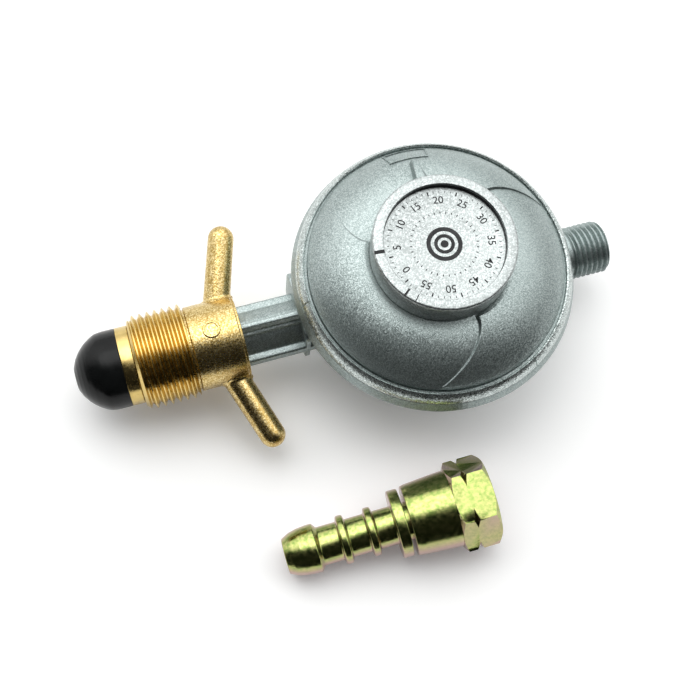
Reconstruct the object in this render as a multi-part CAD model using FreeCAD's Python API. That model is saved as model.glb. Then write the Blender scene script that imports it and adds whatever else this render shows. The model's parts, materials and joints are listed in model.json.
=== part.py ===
import FreeCAD, Part
import math
import os

Vector = FreeCAD.Vector

# Low-pressure propane regulator with a hand-wheel inlet, and the loose hose fitting that goes with it.
# Millimetres. The origin is on the disc's axis, on the flat base. +Z is up through the label cap,
# -X points to the bottle and +X to the outlet.

# --- driving dimensions: casting ---
stem_height = 14.0            # height of the inlet and outlet axis over the base
base_radius = 20.5
base_chamfer = 1.0
housing_height = 8.0          # straight part of the lower housing
flare_radius = 31.0           # where the flared bowl meets the rim
flare_top = 21.0
wall_thickness = 2.7
floor_thickness = 2.5
rim_flare = 0.97              # from the bead's foot out to the widest part of the disc
rim_drop = 1.5                # from the seat down to the widest line
bead_wall = 1.2               # from the flange out to the bead's foot
bead_shoulder = 0.6           # the same wall half way up the bead
crease_rise = 1.0             # from the seat up to the fine crease under the bead
crease_width = 0.3
crease_depth = 0.15
seat_height = 26.5            # face that the diaphragm is clamped on
chamber_bottom = 22.5
seat_width = 2.3              # ring of the seat under the flange
lip_thickness = 1.4           # rolled lip over the bonnet's flange
lip_overhang = 0.8

# --- driving dimensions: diaphragm and bonnet ---
diaphragm_thickness = 0.8
diaphragm_drop = 1.3          # how far the web hangs below the seat at rest
convolution_depth = 1.5
flange_radius = 31.8
flange_thickness = 1.9
lip_gap = 0.65                # from the lip's edge in to the bonnet's wall
bonnet_wall_height = 1.5
bonnet_thickness = 2.0
dome_rise = 6.9
dome_top_radius = 17.3
dome_rows = 15                # points along the dome's curve
dome_shoulder = 5.7           # from the wall in to the point that bends the curve
tower_radius = 14.8
tower_height = 4.1
tower_bore = 11.5
sleeve_wall = 1.9
sleeve_depth = 3.6            # from the dome's top down to the sleeve's end
vent_count = 3
vent_radius = 0.7
pointer_angle = 86.5
pointer_inner = 20.0
pointer_outer = 27.0
pointer_half_angle = 7.5
pointer_height = 1.3

# --- driving dimensions: label cap and pressure adjuster ---
cap_radius = 16.45
cap_recess_radius = 13.95
cap_recess_depth = 1.93
cap_plate = 1.4
cap_edge_round = 0.5
adjuster_height = 3.2
adjuster_pitch = 1.5
adjuster_groove = 0.4
adjuster_hex = 10.4           # across flats
adjuster_travel = 1.5         # each way, one turn of the thread
spring_seat_thickness = 1.0
spring_seat_radius = 9.8
spring_pilot_wall = 1.2
spring_pilot_height = 0.8
main_spring_radius = 8.0
main_spring_wire = 0.7
main_spring_turns = 4
adjuster_clearance = 0.1
cap_clearance = 0.1

# --- driving dimensions: diaphragm plate, hook stem and relief valve ---
plate_radius = 20.0
plate_thickness = 1.0
plate_hole = 2.1
hook_disc_radius = 6.0
hook_disc_thickness = 1.3
hook_rod_radius = 1.5
stirrup_width = 7.2
stirrup_strap = 1.2
stirrup_window = 2.0
stirrup_end = 1.5
relief_spring_radius = 3.0
relief_spring_wire = 0.35
relief_spring_turns = 4
relief_spring_length = 3.5
retainer_radius = 3.6
retainer_thickness = 1.1
rod_stub = 0.6

# --- driving dimensions: lever, its bracket and the valve ---
long_arm = 15.0
short_arm = 5.5
lever_thickness = 1.2
short_arm_thickness = 0.9
short_arm_width = 2.8
lever_tip_radius = 0.75
lever_width = 4.0
lever_overrun = 1.2
hub_radius = 1.8
pin_radius = 1.0
lever_side_gap = 0.15
bracket_front = -11.0
bracket_length = 6.4
bracket_half_width = 6.0
bracket_foot = 3.6
bracket_foot_length = 4.8
bracket_foot_thickness = 1.6
bracket_top_wall = 1.74
bracket_pad = 2.5             # raised pad of the casting under the bracket
screw_radius = 1.0
screw_head_radius = 1.6
screw_head_height = 1.6
screw_grip = 3.4              # thread below the bracket's foot
slider_radius = 4.2
slider_length = 7.75
slider_flat = 3.6             # flat below the slider's axis
valve_gap = 0.95              # open gap between pad and nozzle at rest
pad_radius = 3.0
pad_thickness = 1.5
pad_standout = 0.2
nozzle_tip_x = -19.5
nozzle_cone_length = 1.2
nozzle_head_length = 0.8
nozzle_head_radius = 4.6
nozzle_spot_gap = 0.4         # clearance of the casting's spot face round the head
nozzle_thread_radius = 3.5
nozzle_thread_length = 5.5
nozzle_orifice = 0.9
nozzle_boss_radius = 6.5
gas_bore = 2.2

# --- driving dimensions: inlet stem, spigot and nose ---
stem_root_plate_x = -33.2
stem_root_plate_thickness = 1.2
stem_root_plate_near = 7.3    # reach towards -Y
stem_root_plate_far = 11.0
stem_root_plate_round = 3.0
stem_radius = 7.55
stem_core_radius = 5.6
stem_top_rib = 1.4
stem_side_rib = 3.2
stem_end_x = -50.0
spigot_tail_radius = 4.2
spigot_tail_length = 12.0
spigot_guide_radius = 7.92
collar_radius = 9.5
collar_length = 3.0
collar_front_x = -76.2
stub_radius = 4.6
stub_length = 5.8
filter_radius = 3.0
filter_length = 3.8
ring_seal_radius = 0.8
nose_length = 11.3
nose_curve = ((0.0, 1.0), (0.3, 1.0), (0.44, 0.98), (0.54, 0.925), (0.66, 0.835), (0.76, 0.735), (0.85, 0.62),
              (0.93, 0.48))
nose_port = 2.4
nose_tip_wall = 0.3

# --- driving dimensions: hand nut ---
nut_front_x = -73.1
nut_back_x = -47.4
nut_thread_radius = 11.4555   # 5/8 inch BSP, left hand
nut_thread_depth = 1.162
nut_thread_pitch = 1.814
nut_thread_end_x = -60.0
nut_groove_width = 0.5
nut_groove_radius = 9.9
nut_barrel_radius = 10.3
nut_edge_radius = 10.1
nut_edge_width = 0.6
nut_running_gap = 0.08
wing_x = -54.3
wing_sweep = 18.35
wing_roll = 11.0
wing_reach = 25.9
wing_tip_radius = 3.14
wing_root_radius = 3.3
nut_boss_radius = 2.15
nut_boss_height = 0.35

# --- driving dimensions: outlet ---
outlet_thread_radius = 6.5785  # 1/4 inch BSP, left hand
outlet_thread_depth = 0.856
outlet_thread_pitch = 1.337
outlet_thread_start_x = 37.7
outlet_end_x = 46.3
outlet_neck_radius = 5.9
outlet_bore = 2.8
outlet_seat_radius = 4.4

# --- driving dimensions: hose fitting ---
fitting_x = -5.2              # centre of the hexagon on the table
fitting_y = -52.85
fitting_heading = -0.4        # turn about Z, degrees
hex_across_flats = 19.0
hex_back = -4.6
hex_front = 4.8
hex_groove_at = -0.9
hex_groove_width = 2.0
hex_groove_depth = 1.0
skirt_back = -15.5
skirt_back_radius = 8.35
skirt_front_radius = 9.2
skirt_curve = ((0.0, 0.0), (0.09, 0.24), (0.37, 0.52), (0.706, 0.84), (0.945, 1.0))
swivel_bore = 5.9             # core of the 1/4 inch BSP internal thread
thread_relief_radius = 6.5
tail_radius = 4.6
tail_bore = 2.6
tail_front = -5.5
barb_radius = 5.8
barb_land = 39.3              # from the hexagon's centre back to the barb's widest edge
barb_length = 1.3
barb_taper = 6.4
barb_nose_length = 1.9        # first bend behind the tip, and its rise
barb_nose_rise = 0.95
barb_shoulder_length = 3.9    # second bend behind the tip, and how far it lies under the barb
barb_shoulder_drop = 0.22
tail_tip_radius = 4.15
ring_places = (31.3, 24.55)   # raised rings on the tail
ring_length = 1.6
ring_radius = 5.85
tail_collar_back = 19.0
tail_collar_length = 2.6
tail_collar_radius = 8.15
swivel_clearance = 0.08
clip_wire = 0.5
clip_groove = 0.4
washer_thickness = 1.5
washer_gap = 0.2

# --- small clearances and derived heights ---
fit_gap = 0.03                # between pieces that are pressed or screwed together
running_gap = 0.06            # shaft in its guide
clamp_top = seat_height + diaphragm_thickness
chamber_radius = flange_radius - seat_width
bonnet_wall_radius = flange_radius - lip_overhang - lip_gap
bead_radius = flange_radius + bead_wall
rim_radius = bead_radius + rim_flare
flange_top = clamp_top + flange_thickness
lip_top = flange_top + lip_thickness
bonnet_wall_top = flange_top + bonnet_wall_height
dome_top = bonnet_wall_top + dome_rise
tower_top = dome_top + tower_height
cap_gap = 0.3
cap_bottom = dome_top + cap_gap
cap_underside = tower_top + cap_gap
cap_floor = cap_underside + cap_plate
cap_top = cap_floor + cap_recess_depth
web_bottom = seat_height - diaphragm_drop
web_top = web_bottom + diaphragm_thickness
plate_top = web_top + plate_thickness
adjuster_top = tower_top - adjuster_travel
adjuster_bottom = adjuster_top - adjuster_height
spring_seat_bottom = adjuster_bottom - spring_seat_thickness
housing_radius = base_radius + base_chamfer
lever_height = stem_height - short_arm
pivot_x = -long_arm
bracket_bottom = floor_thickness + bracket_pad
bracket_back = bracket_front - bracket_length
pad_face_x = nozzle_tip_x + valve_gap
slider_back_x = pad_face_x + pad_standout
slider_front_x = slider_back_x + slider_length
screw_y = bracket_half_width + bracket_foot / 2
screw_x = bracket_front - bracket_foot_length / 2
nut_bore = spigot_guide_radius + nut_running_gap
nozzle_shoulder_x = nozzle_tip_x - nozzle_cone_length - nozzle_head_length
retainer_bottom = plate_top + relief_spring_length
# the fitting lies on its hexagon and on whichever of barb, collar and skirt comes down first
fitting_rests = [(barb_radius, barb_land), (tail_collar_radius, tail_collar_back), (skirt_back_radius, -skirt_back)]
fitting_slopes = [(hex_across_flats / 2 - radius) / (place + hex_back) for radius, place in fitting_rests]
fitting_tilt = math.degrees(math.atan(min(fitting_slopes)))


def turned_z(points):
    # solid of revolution about Z from (radius, height) points
    wire = Part.makePolygon([Vector(r, 0, z) for r, z in points + points[:1]])
    return Part.Face(wire).revolve(Vector(0, 0, 0), Vector(0, 0, 1), 360)


def turned_x(points, height=0.0):
    # solid of revolution about an axis along X from (x, radius) points
    wire = Part.makePolygon([Vector(x, 0, r) for x, r in points + points[:1]])
    solid = Part.Face(wire).revolve(Vector(0, 0, 0), Vector(1, 0, 0), 360)
    solid.translate(Vector(0, 0, height))
    return solid


def arc_points(first, middle, last, count):
    # evenly spaced points on the arc through three (radius, height) points
    arc = Part.Arc(*[Vector(r, 0, z) for r, z in (first, middle, last)])
    return [(p.x, p.z) for p in arc.discretize(count)]


def rod_x(radius, start, end, height=stem_height):
    return Part.makeCylinder(radius, end - start, Vector(start, 0, height), Vector(1, 0, 0))


def rod_z(radius, start, end, x=0.0, y=0.0):
    return Part.makeCylinder(radius, end - start, Vector(x, y, start))


def block(x, y, z):
    # box from three (low, high) pairs
    return Part.makeBox(x[1] - x[0], y[1] - y[0], z[1] - z[0], Vector(x[0], y[0], z[0]))


def hexagon(across_flats, length, turn=30.0):
    # prism along +Z with a flat or a corner on +X
    corner = across_flats / math.sqrt(3)
    angles = [math.radians(turn + 60 * i) for i in range(7)]
    wire = Part.makePolygon([Vector(corner * math.cos(a), corner * math.sin(a), 0) for a in angles])
    return Part.Face(wire).extrude(Vector(0, 0, length))


def coil(mean_radius, wire_radius, bottom, top, turns):
    # closed helical spring of short straight lengths, its wire tangent to the two seats
    sides = 20
    steps = sides * turns
    rise = (top - bottom - 2 * wire_radius) / steps
    points = []
    for i in range(steps + 1):
        angle = 2 * math.pi * i / sides
        points.append(Vector(mean_radius * math.cos(angle), mean_radius * math.sin(angle), bottom + wire_radius + rise * i))
    path = Part.makePolygon(points)
    ring = Part.makeCircle(wire_radius, points[0], points[1] - points[0])
    return path.makePipeShell([Part.Wire(ring)], True, False, 1)


def thread_points(crest, depth, pitch, start, end):
    # (x, radius) points of a row of ridges with the thread's depth and pitch
    points = []
    for i in range(int((end - start) / pitch)):
        x = start + pitch * i
        points += [(x + 0.08 * pitch, crest), (x + 0.44 * pitch, crest - depth), (x + 0.56 * pitch, crest - depth),
                   (x + 0.92 * pitch, crest)]
    return points


def bowl_profile():
    # lower housing, flare, rim, rolled bead and the chamber inside
    inner_housing = housing_radius - wall_thickness
    rim_height = seat_height - rim_drop
    crease_bottom = seat_height + crease_rise
    crease_top = crease_bottom + crease_width
    crease = bead_radius - crease_depth
    lip_inner = flange_radius - lip_overhang
    flare_middle = ((flare_radius + rim_radius) / 2 + 0.7, (flare_top + rim_height) / 2)
    flare = arc_points((flare_radius, flare_top), flare_middle, (rim_radius, rim_height), 6)
    bead_middle = (flange_radius + bead_shoulder, lip_top - bead_wall)
    bead = arc_points((bead_radius, crease_top), bead_middle, (lip_inner + 0.4, lip_top), 7)
    outer = [(0, 0), (base_radius, 0), (housing_radius, base_chamfer), (housing_radius, housing_height)] + flare
    outer += [(bead_radius, crease_bottom), (crease, crease_bottom), (crease, crease_top)]
    lip = [(lip_inner, lip_top - 0.2), (lip_inner, flange_top), (flange_radius + fit_gap, flange_top),
           (flange_radius + fit_gap, seat_height), (chamber_radius, seat_height)]
    inner = [(chamber_radius, chamber_bottom), (flare_radius - wall_thickness, flare_top),
             (inner_housing, housing_height + 0.5), (inner_housing, floor_thickness), (0, floor_thickness)]
    return outer + bead + lip + inner


def stem_ribs():
    # core with four ribs that fill a round envelope, and the plate at its root
    root_x = stem_root_plate_x + stem_root_plate_thickness
    inner_x = -(housing_radius + 2)
    core = rod_x(stem_core_radius, stem_end_x, inner_x)
    envelope = rod_x(stem_radius, stem_end_x, inner_x)
    reach = stem_radius + 1
    top = block((stem_end_x, inner_x), (-stem_top_rib / 2, stem_top_rib / 2),
                (stem_height - reach, stem_height + reach))
    side = block((stem_end_x, inner_x), (-reach, reach),
                 (stem_height - stem_side_rib / 2, stem_height + stem_side_rib / 2))
    plate = block((stem_root_plate_x, root_x), (-stem_root_plate_near, stem_root_plate_far),
                  (stem_height - stem_radius, stem_height + stem_radius))
    corners = [e for e in plate.Edges if abs(e.tangentAt(e.FirstParameter).x) > 0.9]
    plate = plate.makeFillet(stem_root_plate_round, corners)
    return core.fuse([top.fuse(side).common(envelope), plate])


def bracket_plan(bottom, top):
    # the lever bracket's outline with its two feet
    wide = bracket_half_width + bracket_foot
    middle = block((bracket_back, bracket_front), (-bracket_half_width, bracket_half_width), (bottom, top))
    return middle.fuse(block((bracket_front - bracket_foot_length, bracket_front), (-wide, wide), (bottom, top)))


def make_body_casting():
    bowl = turned_z(bowl_profile())
    chamber_x = housing_radius - wall_thickness + 1
    boss = rod_x(nozzle_boss_radius, -(housing_radius + 3), nozzle_shoulder_x)
    pad = bracket_plan(floor_thickness - 0.5, bracket_bottom)
    neck = rod_x(outlet_neck_radius, chamber_x + 3, outlet_thread_start_x)
    chamfer = outlet_thread_radius - outlet_thread_depth
    ridges = thread_points(outlet_thread_radius, outlet_thread_depth, outlet_thread_pitch,
                           outlet_thread_start_x, outlet_end_x - outlet_thread_depth)
    outlet = turned_x([(outlet_thread_start_x - 0.8, 0), (outlet_thread_start_x - 0.8, outlet_neck_radius),
                       (outlet_thread_start_x, outlet_thread_radius)] + ridges
                      + [(outlet_end_x - outlet_thread_depth, outlet_thread_radius),
                         (outlet_end_x, chamfer), (outlet_end_x, 0)], stem_height)
    casting = bowl.fuse([stem_ribs(), boss, pad, neck, outlet])
    seat_depth = outlet_seat_radius - outlet_bore
    seat = Part.makeCone(outlet_bore, outlet_seat_radius, seat_depth * 1.4,
                         Vector(outlet_end_x - seat_depth * 1.4, 0, stem_height), Vector(1, 0, 0))
    tail_hole = rod_x(spigot_tail_radius + fit_gap, stem_end_x - 1, stem_end_x + spigot_tail_length + 0.2)
    nozzle_hole = rod_x(nozzle_thread_radius + fit_gap, nozzle_shoulder_x - nozzle_thread_length - 0.2,
                        nozzle_shoulder_x + 1)
    nozzle_spot = rod_x(nozzle_head_radius + nozzle_spot_gap, nozzle_shoulder_x, nozzle_tip_x)
    cuts = [seat, tail_hole, nozzle_hole, nozzle_spot]
    cuts.append(rod_x(outlet_bore, chamber_x - 3, outlet_end_x + 1))
    cuts.append(rod_x(gas_bore, stem_end_x, nozzle_shoulder_x))
    for side in (-1, 1):
        cuts.append(rod_z(screw_radius + fit_gap, bracket_bottom - screw_grip - 0.2, bracket_bottom + 1,
                          screw_x, side * screw_y))
    return casting.cut(cuts)


def dome_profile(offset, rows):
    # convex shoulder between the bonnet's wall and its top, moved inwards by the offset
    outer_end = (bonnet_wall_radius - offset, bonnet_wall_top - offset * 0.4)
    inner_end = (dome_top_radius - offset * 0.4, dome_top - offset)
    middle = (bonnet_wall_radius - dome_shoulder - offset * 0.7, bonnet_wall_top + dome_rise * 0.7 - offset * 0.7)
    return arc_points(outer_end, middle, inner_end, rows)


def pointer_wedge():
    # three-sided raised arrow on the dome that points at the rim
    low = dome_top - dome_rise
    base = [(pointer_inner, pointer_angle - pointer_half_angle), (pointer_inner, pointer_angle + pointer_half_angle),
            (pointer_outer, pointer_angle)]
    corners = [Vector(r * math.cos(math.radians(a)), r * math.sin(math.radians(a)), low) for r, a in base]
    wedge = Part.Face(Part.makePolygon(corners + corners[:1])).extrude(Vector(0, 0, dome_rise + pointer_height))
    cap = turned_z([(0, low - 1), (pointer_outer + 2, low - 1), (pointer_outer + 2, bonnet_wall_top + 2.6),
                    (pointer_inner, dome_top + pointer_height - 0.9), (0, dome_top + pointer_height - 0.9)])
    return wedge.common(cap)


def make_bonnet():
    outer = dome_profile(0.0, dome_rows)
    inner = dome_profile(bonnet_thickness, dome_rows)
    inner.reverse()
    sleeve_radius = tower_bore + sleeve_wall
    sleeve_bottom = dome_top - sleeve_depth
    wall_inner = bonnet_wall_radius - bonnet_thickness
    points = [(wall_inner, clamp_top), (flange_radius, clamp_top), (flange_radius, flange_top),
              (bonnet_wall_radius, flange_top)] + outer
    points += [(tower_radius, dome_top), (tower_radius, tower_top), (tower_bore, tower_top),
               (tower_bore, sleeve_bottom), (sleeve_radius, sleeve_bottom),
               (sleeve_radius, dome_top - bonnet_thickness)] + inner
    bonnet = turned_z(points).fuse(pointer_wedge())
    hollow = turned_z([(0, clamp_top - 1), (wall_inner, clamp_top - 1)] + inner[::-1]
                      + [(sleeve_radius, dome_top - bonnet_thickness), (0, dome_top - bonnet_thickness)])
    room = hollow.cut(rod_z(sleeve_radius, clamp_top - 2, dome_top))
    vent_ring = (tower_radius + cap_radius) / 2
    vents = []
    for i in range(vent_count):
        angle = math.radians(30 + 360 * i / vent_count)
        vents.append(rod_z(vent_radius, dome_top - bonnet_thickness - 1, dome_top + 1,
                           vent_ring * math.cos(angle), vent_ring * math.sin(angle)))
    return bonnet.cut([room] + vents)


def make_label_cap():
    skirt_inner = tower_radius + cap_clearance
    cap = turned_z([(skirt_inner, cap_bottom), (cap_radius, cap_bottom), (cap_radius, cap_top - cap_edge_round),
                    (cap_radius - cap_edge_round * 0.3, cap_top - cap_edge_round * 0.3),
                    (cap_radius - cap_edge_round, cap_top), (cap_recess_radius, cap_top),
                    (cap_recess_radius, cap_floor), (0, cap_floor), (0, cap_underside),
                    (skirt_inner, cap_underside)])
    return cap


def make_spring_seat():
    pilot = main_spring_radius - main_spring_wire - 0.4
    hole = pilot - spring_pilot_wall
    return turned_z([(hole, spring_seat_bottom - spring_pilot_height), (pilot, spring_seat_bottom - spring_pilot_height),
                     (pilot, spring_seat_bottom), (spring_seat_radius, spring_seat_bottom),
                     (spring_seat_radius, adjuster_bottom), (hole, adjuster_bottom)])


def make_adjuster_screw():
    crest = tower_bore - adjuster_clearance
    screw = rod_z(crest, adjuster_bottom, adjuster_top)
    turns = int(adjuster_height / adjuster_pitch)
    for i in range(turns):
        middle = adjuster_bottom + adjuster_pitch * (i + 0.75)
        ring = turned_z([(crest - adjuster_groove, middle), (crest + 0.5, middle - 0.45), (crest + 0.5, middle + 0.45)])
        screw = screw.cut(ring)
    socket = hexagon(adjuster_hex, adjuster_height + 2)
    socket.translate(Vector(0, 0, adjuster_bottom - 1))
    return screw.cut(socket)


def make_main_spring():
    return coil(main_spring_radius, main_spring_wire, plate_top, spring_seat_bottom, main_spring_turns)


def make_diaphragm():
    web_edge = plate_radius + 0.4
    valley = (web_edge + chamber_radius) / 2
    low = web_bottom - convolution_depth
    t = diaphragm_thickness
    top = [(flange_radius, clamp_top), (chamber_radius - 0.8, clamp_top), (chamber_radius - 2.0, low + t + 0.9),
           (valley, low + t), (web_edge + 1.1, low + t + 0.8), (web_edge, web_top)]
    bottom = [(plate_hole, web_top), (plate_hole, web_bottom), (web_edge + 0.3, web_bottom),
              (web_edge + 1.4, low + 0.7), (valley, low), (chamber_radius - 1.5, low + 1.0),
              (chamber_radius - 0.2, seat_height), (flange_radius, seat_height)]
    return turned_z(top + bottom)


def make_diaphragm_plate():
    pilot = main_spring_radius - main_spring_wire - 0.4
    ridge = pilot - 1.0
    return turned_z([(plate_hole, web_top), (plate_radius, web_top), (plate_radius, plate_top), (pilot, plate_top),
                     (pilot, plate_top + spring_pilot_height), (ridge, plate_top + spring_pilot_height),
                     (ridge, plate_top), (plate_hole, plate_top)])


def make_hook_stem():
    # disc under the diaphragm, rod through it, and the stirrup that holds the lever's end
    disc = rod_z(hook_disc_radius, web_bottom - hook_disc_thickness, web_bottom)
    rod_top = retainer_bottom + retainer_thickness + rod_stub
    window_bottom = lever_height - stirrup_window / 2
    window_top = lever_height + stirrup_window / 2
    rod = rod_z(hook_rod_radius, window_top + stirrup_end / 2, rod_top)
    half = stirrup_width / 2
    depth = hook_rod_radius - 0.2
    stirrup = block((-depth, depth), (-half, half), (window_bottom - stirrup_end, window_top + stirrup_end))
    window = block((-depth - 1, depth + 1), (-half + stirrup_strap, half - stirrup_strap), (window_bottom, window_top))
    return disc.fuse([rod, stirrup]).cut(window)


def make_relief_spring():
    return coil(relief_spring_radius, relief_spring_wire, plate_top, retainer_bottom, relief_spring_turns)


def make_relief_retainer():
    ring = rod_z(retainer_radius, retainer_bottom, retainer_bottom + retainer_thickness)
    return ring.cut(rod_z(hook_rod_radius + fit_gap, retainer_bottom - 1, retainer_bottom + retainer_thickness + 1))


def make_lever():
    # bell crank: the long arm reaches the stirrup, the short arm pushes the valve slider
    half = lever_width / 2
    short_half = short_arm_width / 2
    hub = Part.makeCylinder(hub_radius, lever_width, Vector(pivot_x, -half, lever_height), Vector(0, 1, 0))
    arm = block((pivot_x, lever_overrun), (-half, half),
                (lever_height - lever_thickness / 2, lever_height + lever_thickness / 2))
    finger = block((pivot_x - short_arm_thickness / 2, pivot_x + short_arm_thickness / 2), (-short_half, short_half),
                   (lever_height, stem_height))
    tip = Part.makeCylinder(lever_tip_radius, short_arm_width, Vector(pivot_x, -short_half, stem_height),
                            Vector(0, 1, 0))
    hole = Part.makeCylinder(pin_radius + running_gap, lever_width + 2, Vector(pivot_x, -half - 1, lever_height),
                             Vector(0, 1, 0))
    return hub.fuse([arm, finger, tip]).cut(hole)


def make_lever_pin():
    length = 2 * bracket_half_width - 0.4
    return Part.makeCylinder(pin_radius, length, Vector(pivot_x, -length / 2, lever_height), Vector(0, 1, 0))


def make_lever_bracket():
    # block with the slider's guide, the lever's slot and two feet
    top = stem_height + slider_radius + running_gap + bracket_top_wall
    body = block((bracket_back, bracket_front), (-bracket_half_width, bracket_half_width), (bracket_bottom, top))
    feet = bracket_plan(bracket_bottom, bracket_bottom + bracket_foot_thickness)
    guide = rod_x(slider_radius + running_gap, bracket_back - 1, bracket_front + 1)
    slot_half = lever_width / 2 + lever_side_gap
    slot = block((bracket_back - 1, bracket_front + 1), (-slot_half, slot_half), (bracket_bottom - 1, stem_height))
    pin_hole = Part.makeCylinder(pin_radius + 0.01, 3 * bracket_half_width,
                                 Vector(pivot_x, -1.5 * bracket_half_width, lever_height), Vector(0, 1, 0))
    cuts = [guide, slot, pin_hole]
    for side in (-1, 1):
        cuts.append(rod_z(screw_radius + 0.15, bracket_bottom - 1, bracket_bottom + bracket_foot_thickness + 1,
                          screw_x, side * screw_y))
    return body.fuse(feet).cut(cuts)


def make_bracket_screws():
    head_bottom = bracket_bottom + bracket_foot_thickness
    screws = []
    for side in (-1, 1):
        shank = rod_z(screw_radius, bracket_bottom - screw_grip, head_bottom, screw_x, side * screw_y)
        head = rod_z(screw_head_radius, head_bottom, head_bottom + screw_head_height, screw_x, side * screw_y)
        slot = block((screw_x - screw_head_radius - 1, screw_x + screw_head_radius + 1),
                     (side * screw_y - 0.3, side * screw_y + 0.3),
                     (head_bottom + screw_head_height - 0.7, head_bottom + screw_head_height + 1))
        screws.append(shank.fuse(head).cut(slot))
    return Part.makeCompound(screws)


def make_valve_slider():
    body = rod_x(slider_radius, slider_back_x, slider_front_x)
    reach = slider_radius + 1
    flat = block((slider_back_x - 1, slider_front_x + 1), (-reach, reach),
                 (stem_height - reach, stem_height - slider_flat))
    pocket = rod_x(pad_radius + fit_gap, slider_back_x - 1, pad_face_x + pad_thickness)
    slot_half = short_arm_width / 2 + 0.2
    slot_back = pivot_x - lever_tip_radius - 0.1
    upper = block((slot_back, pivot_x + lever_tip_radius + 0.1), (-slot_half, slot_half),
                  (stem_height - 1.5, stem_height + lever_tip_radius + 0.25))
    lower = block((slot_back, pivot_x + 1.3), (-slot_half, slot_half), (stem_height - reach, stem_height - 1.0))
    return body.cut([flat, pocket, upper, lower])


def make_valve_pad():
    return rod_x(pad_radius, pad_face_x, pad_face_x + pad_thickness)


def make_inlet_nozzle():
    head_x = nozzle_shoulder_x
    cone_x = nozzle_tip_x - nozzle_cone_length
    back_x = head_x - nozzle_thread_length
    nozzle = turned_x([(back_x, 0), (back_x, nozzle_thread_radius), (head_x, nozzle_thread_radius),
                       (head_x, nozzle_head_radius), (cone_x, nozzle_head_radius), (cone_x, nozzle_orifice + 1.8),
                       (nozzle_tip_x, nozzle_orifice + 0.7), (nozzle_tip_x, 0)], stem_height)
    inlet = rod_x(gas_bore, back_x - 1, back_x + nozzle_thread_length * 0.7)
    return nozzle.cut([inlet, rod_x(nozzle_orifice, back_x, nozzle_tip_x + 1)])


def make_inlet_spigot():
    # collar that the nut pushes, the guide that it runs on, and the tail pressed into the casting
    collar_back = collar_front_x + collar_length
    stub_x = collar_front_x - stub_length
    tail_x = stem_end_x + spigot_tail_length
    seal_x = stem_end_x + spigot_tail_length * 0.5
    groove = spigot_tail_radius - 2 * ring_seal_radius
    spigot = turned_x([(stub_x, 0), (stub_x, stub_radius), (collar_front_x, stub_radius),
                       (collar_front_x, collar_radius), (collar_back, collar_radius),
                       (collar_back, spigot_guide_radius), (stem_end_x, spigot_guide_radius),
                       (stem_end_x, spigot_tail_radius), (seal_x - ring_seal_radius - 0.1, spigot_tail_radius),
                       (seal_x - ring_seal_radius - 0.1, groove), (seal_x + ring_seal_radius + 0.1, groove),
                       (seal_x + ring_seal_radius + 0.1, spigot_tail_radius), (tail_x, spigot_tail_radius),
                       (tail_x, 0)], stem_height)
    bore = rod_x(gas_bore - 0.4, stub_x - 1, tail_x + 1)
    pocket = rod_x(filter_radius + fit_gap, stub_x - 1, stub_x + filter_length)
    return spigot.cut([bore, pocket])


def make_nose_seal():
    # soft nose over the spigot's stub, with the gas port through its tip
    back = collar_front_x
    tip = back - nose_length
    outer = [(back - nose_length * along, collar_radius * wide) for along, wide in nose_curve]
    nose = turned_x([(back, 0)] + outer + [(tip, nose_port + nose_tip_wall), (tip, 0)], stem_height)
    stub = rod_x(stub_radius + fit_gap, back - stub_length - fit_gap, back + 1)
    return nose.cut([stub, rod_x(nose_port, tip - 1, back)])


def make_inlet_filter():
    stub_x = collar_front_x - stub_length
    return rod_x(filter_radius, stub_x, stub_x + filter_length)


def make_spigot_seal():
    seal_x = stem_end_x + spigot_tail_length * 0.5
    ring = Part.makeTorus(spigot_tail_radius - ring_seal_radius, ring_seal_radius - fit_gap,
                          Vector(seal_x, 0, stem_height), Vector(1, 0, 0))
    return ring


def wing(side):
    # one tapered rod with a round end, swept back towards the disc
    sweep = math.radians(wing_sweep)
    roll = math.radians(wing_roll)
    direction = Vector(math.sin(sweep), side * math.cos(sweep) * math.cos(roll),
                       side * math.cos(sweep) * math.sin(roll))
    start = Vector(wing_x, 0, stem_height)
    rod = Part.makeCone(wing_root_radius, wing_tip_radius, wing_reach, start, direction)
    end = Part.makeSphere(wing_tip_radius, start + direction * wing_reach)
    return rod.fuse(end)


def make_wing_nut():
    crest = nut_thread_radius
    barrel_x = nut_thread_end_x + nut_groove_width
    ridges = thread_points(crest, nut_thread_depth, nut_thread_pitch, nut_front_x + nut_thread_depth,
                           nut_thread_end_x)
    nut = turned_x([(nut_front_x, 0), (nut_front_x, crest - nut_thread_depth),
                    (nut_front_x + nut_thread_depth, crest)] + ridges + [(nut_thread_end_x, crest),
                    (nut_thread_end_x, nut_groove_radius), (barrel_x, nut_groove_radius),
                    (barrel_x + 0.2, nut_barrel_radius), (nut_back_x - nut_edge_width, nut_barrel_radius),
                    (nut_back_x - nut_edge_width, nut_edge_radius), (nut_back_x, nut_edge_radius),
                    (nut_back_x, 0)], stem_height)
    boss_angle = math.radians(2)
    up = Vector(0, math.sin(boss_angle), math.cos(boss_angle))
    boss = Part.makeCylinder(nut_boss_radius, nut_barrel_radius + nut_boss_height, Vector(wing_x, 0, stem_height), up)
    nut = nut.fuse([wing(1), wing(-1), boss])
    return nut.cut(rod_x(nut_bore, nut_front_x - 1, nut_back_x + 1))


def place_fitting(shape):
    # lays the fitting on the table on a flat of its hexagon and the barb at its tail
    tilt = math.radians(fitting_tilt)
    height = hex_across_flats / 2 * math.cos(tilt) - hex_back * math.sin(tilt)
    shape.rotate(Vector(0, 0, 0), Vector(0, 1, 0), -fitting_tilt)
    shape.rotate(Vector(0, 0, 0), Vector(0, 0, 1), fitting_heading)
    shape.translate(Vector(fitting_x, fitting_y, height))
    return shape


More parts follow.
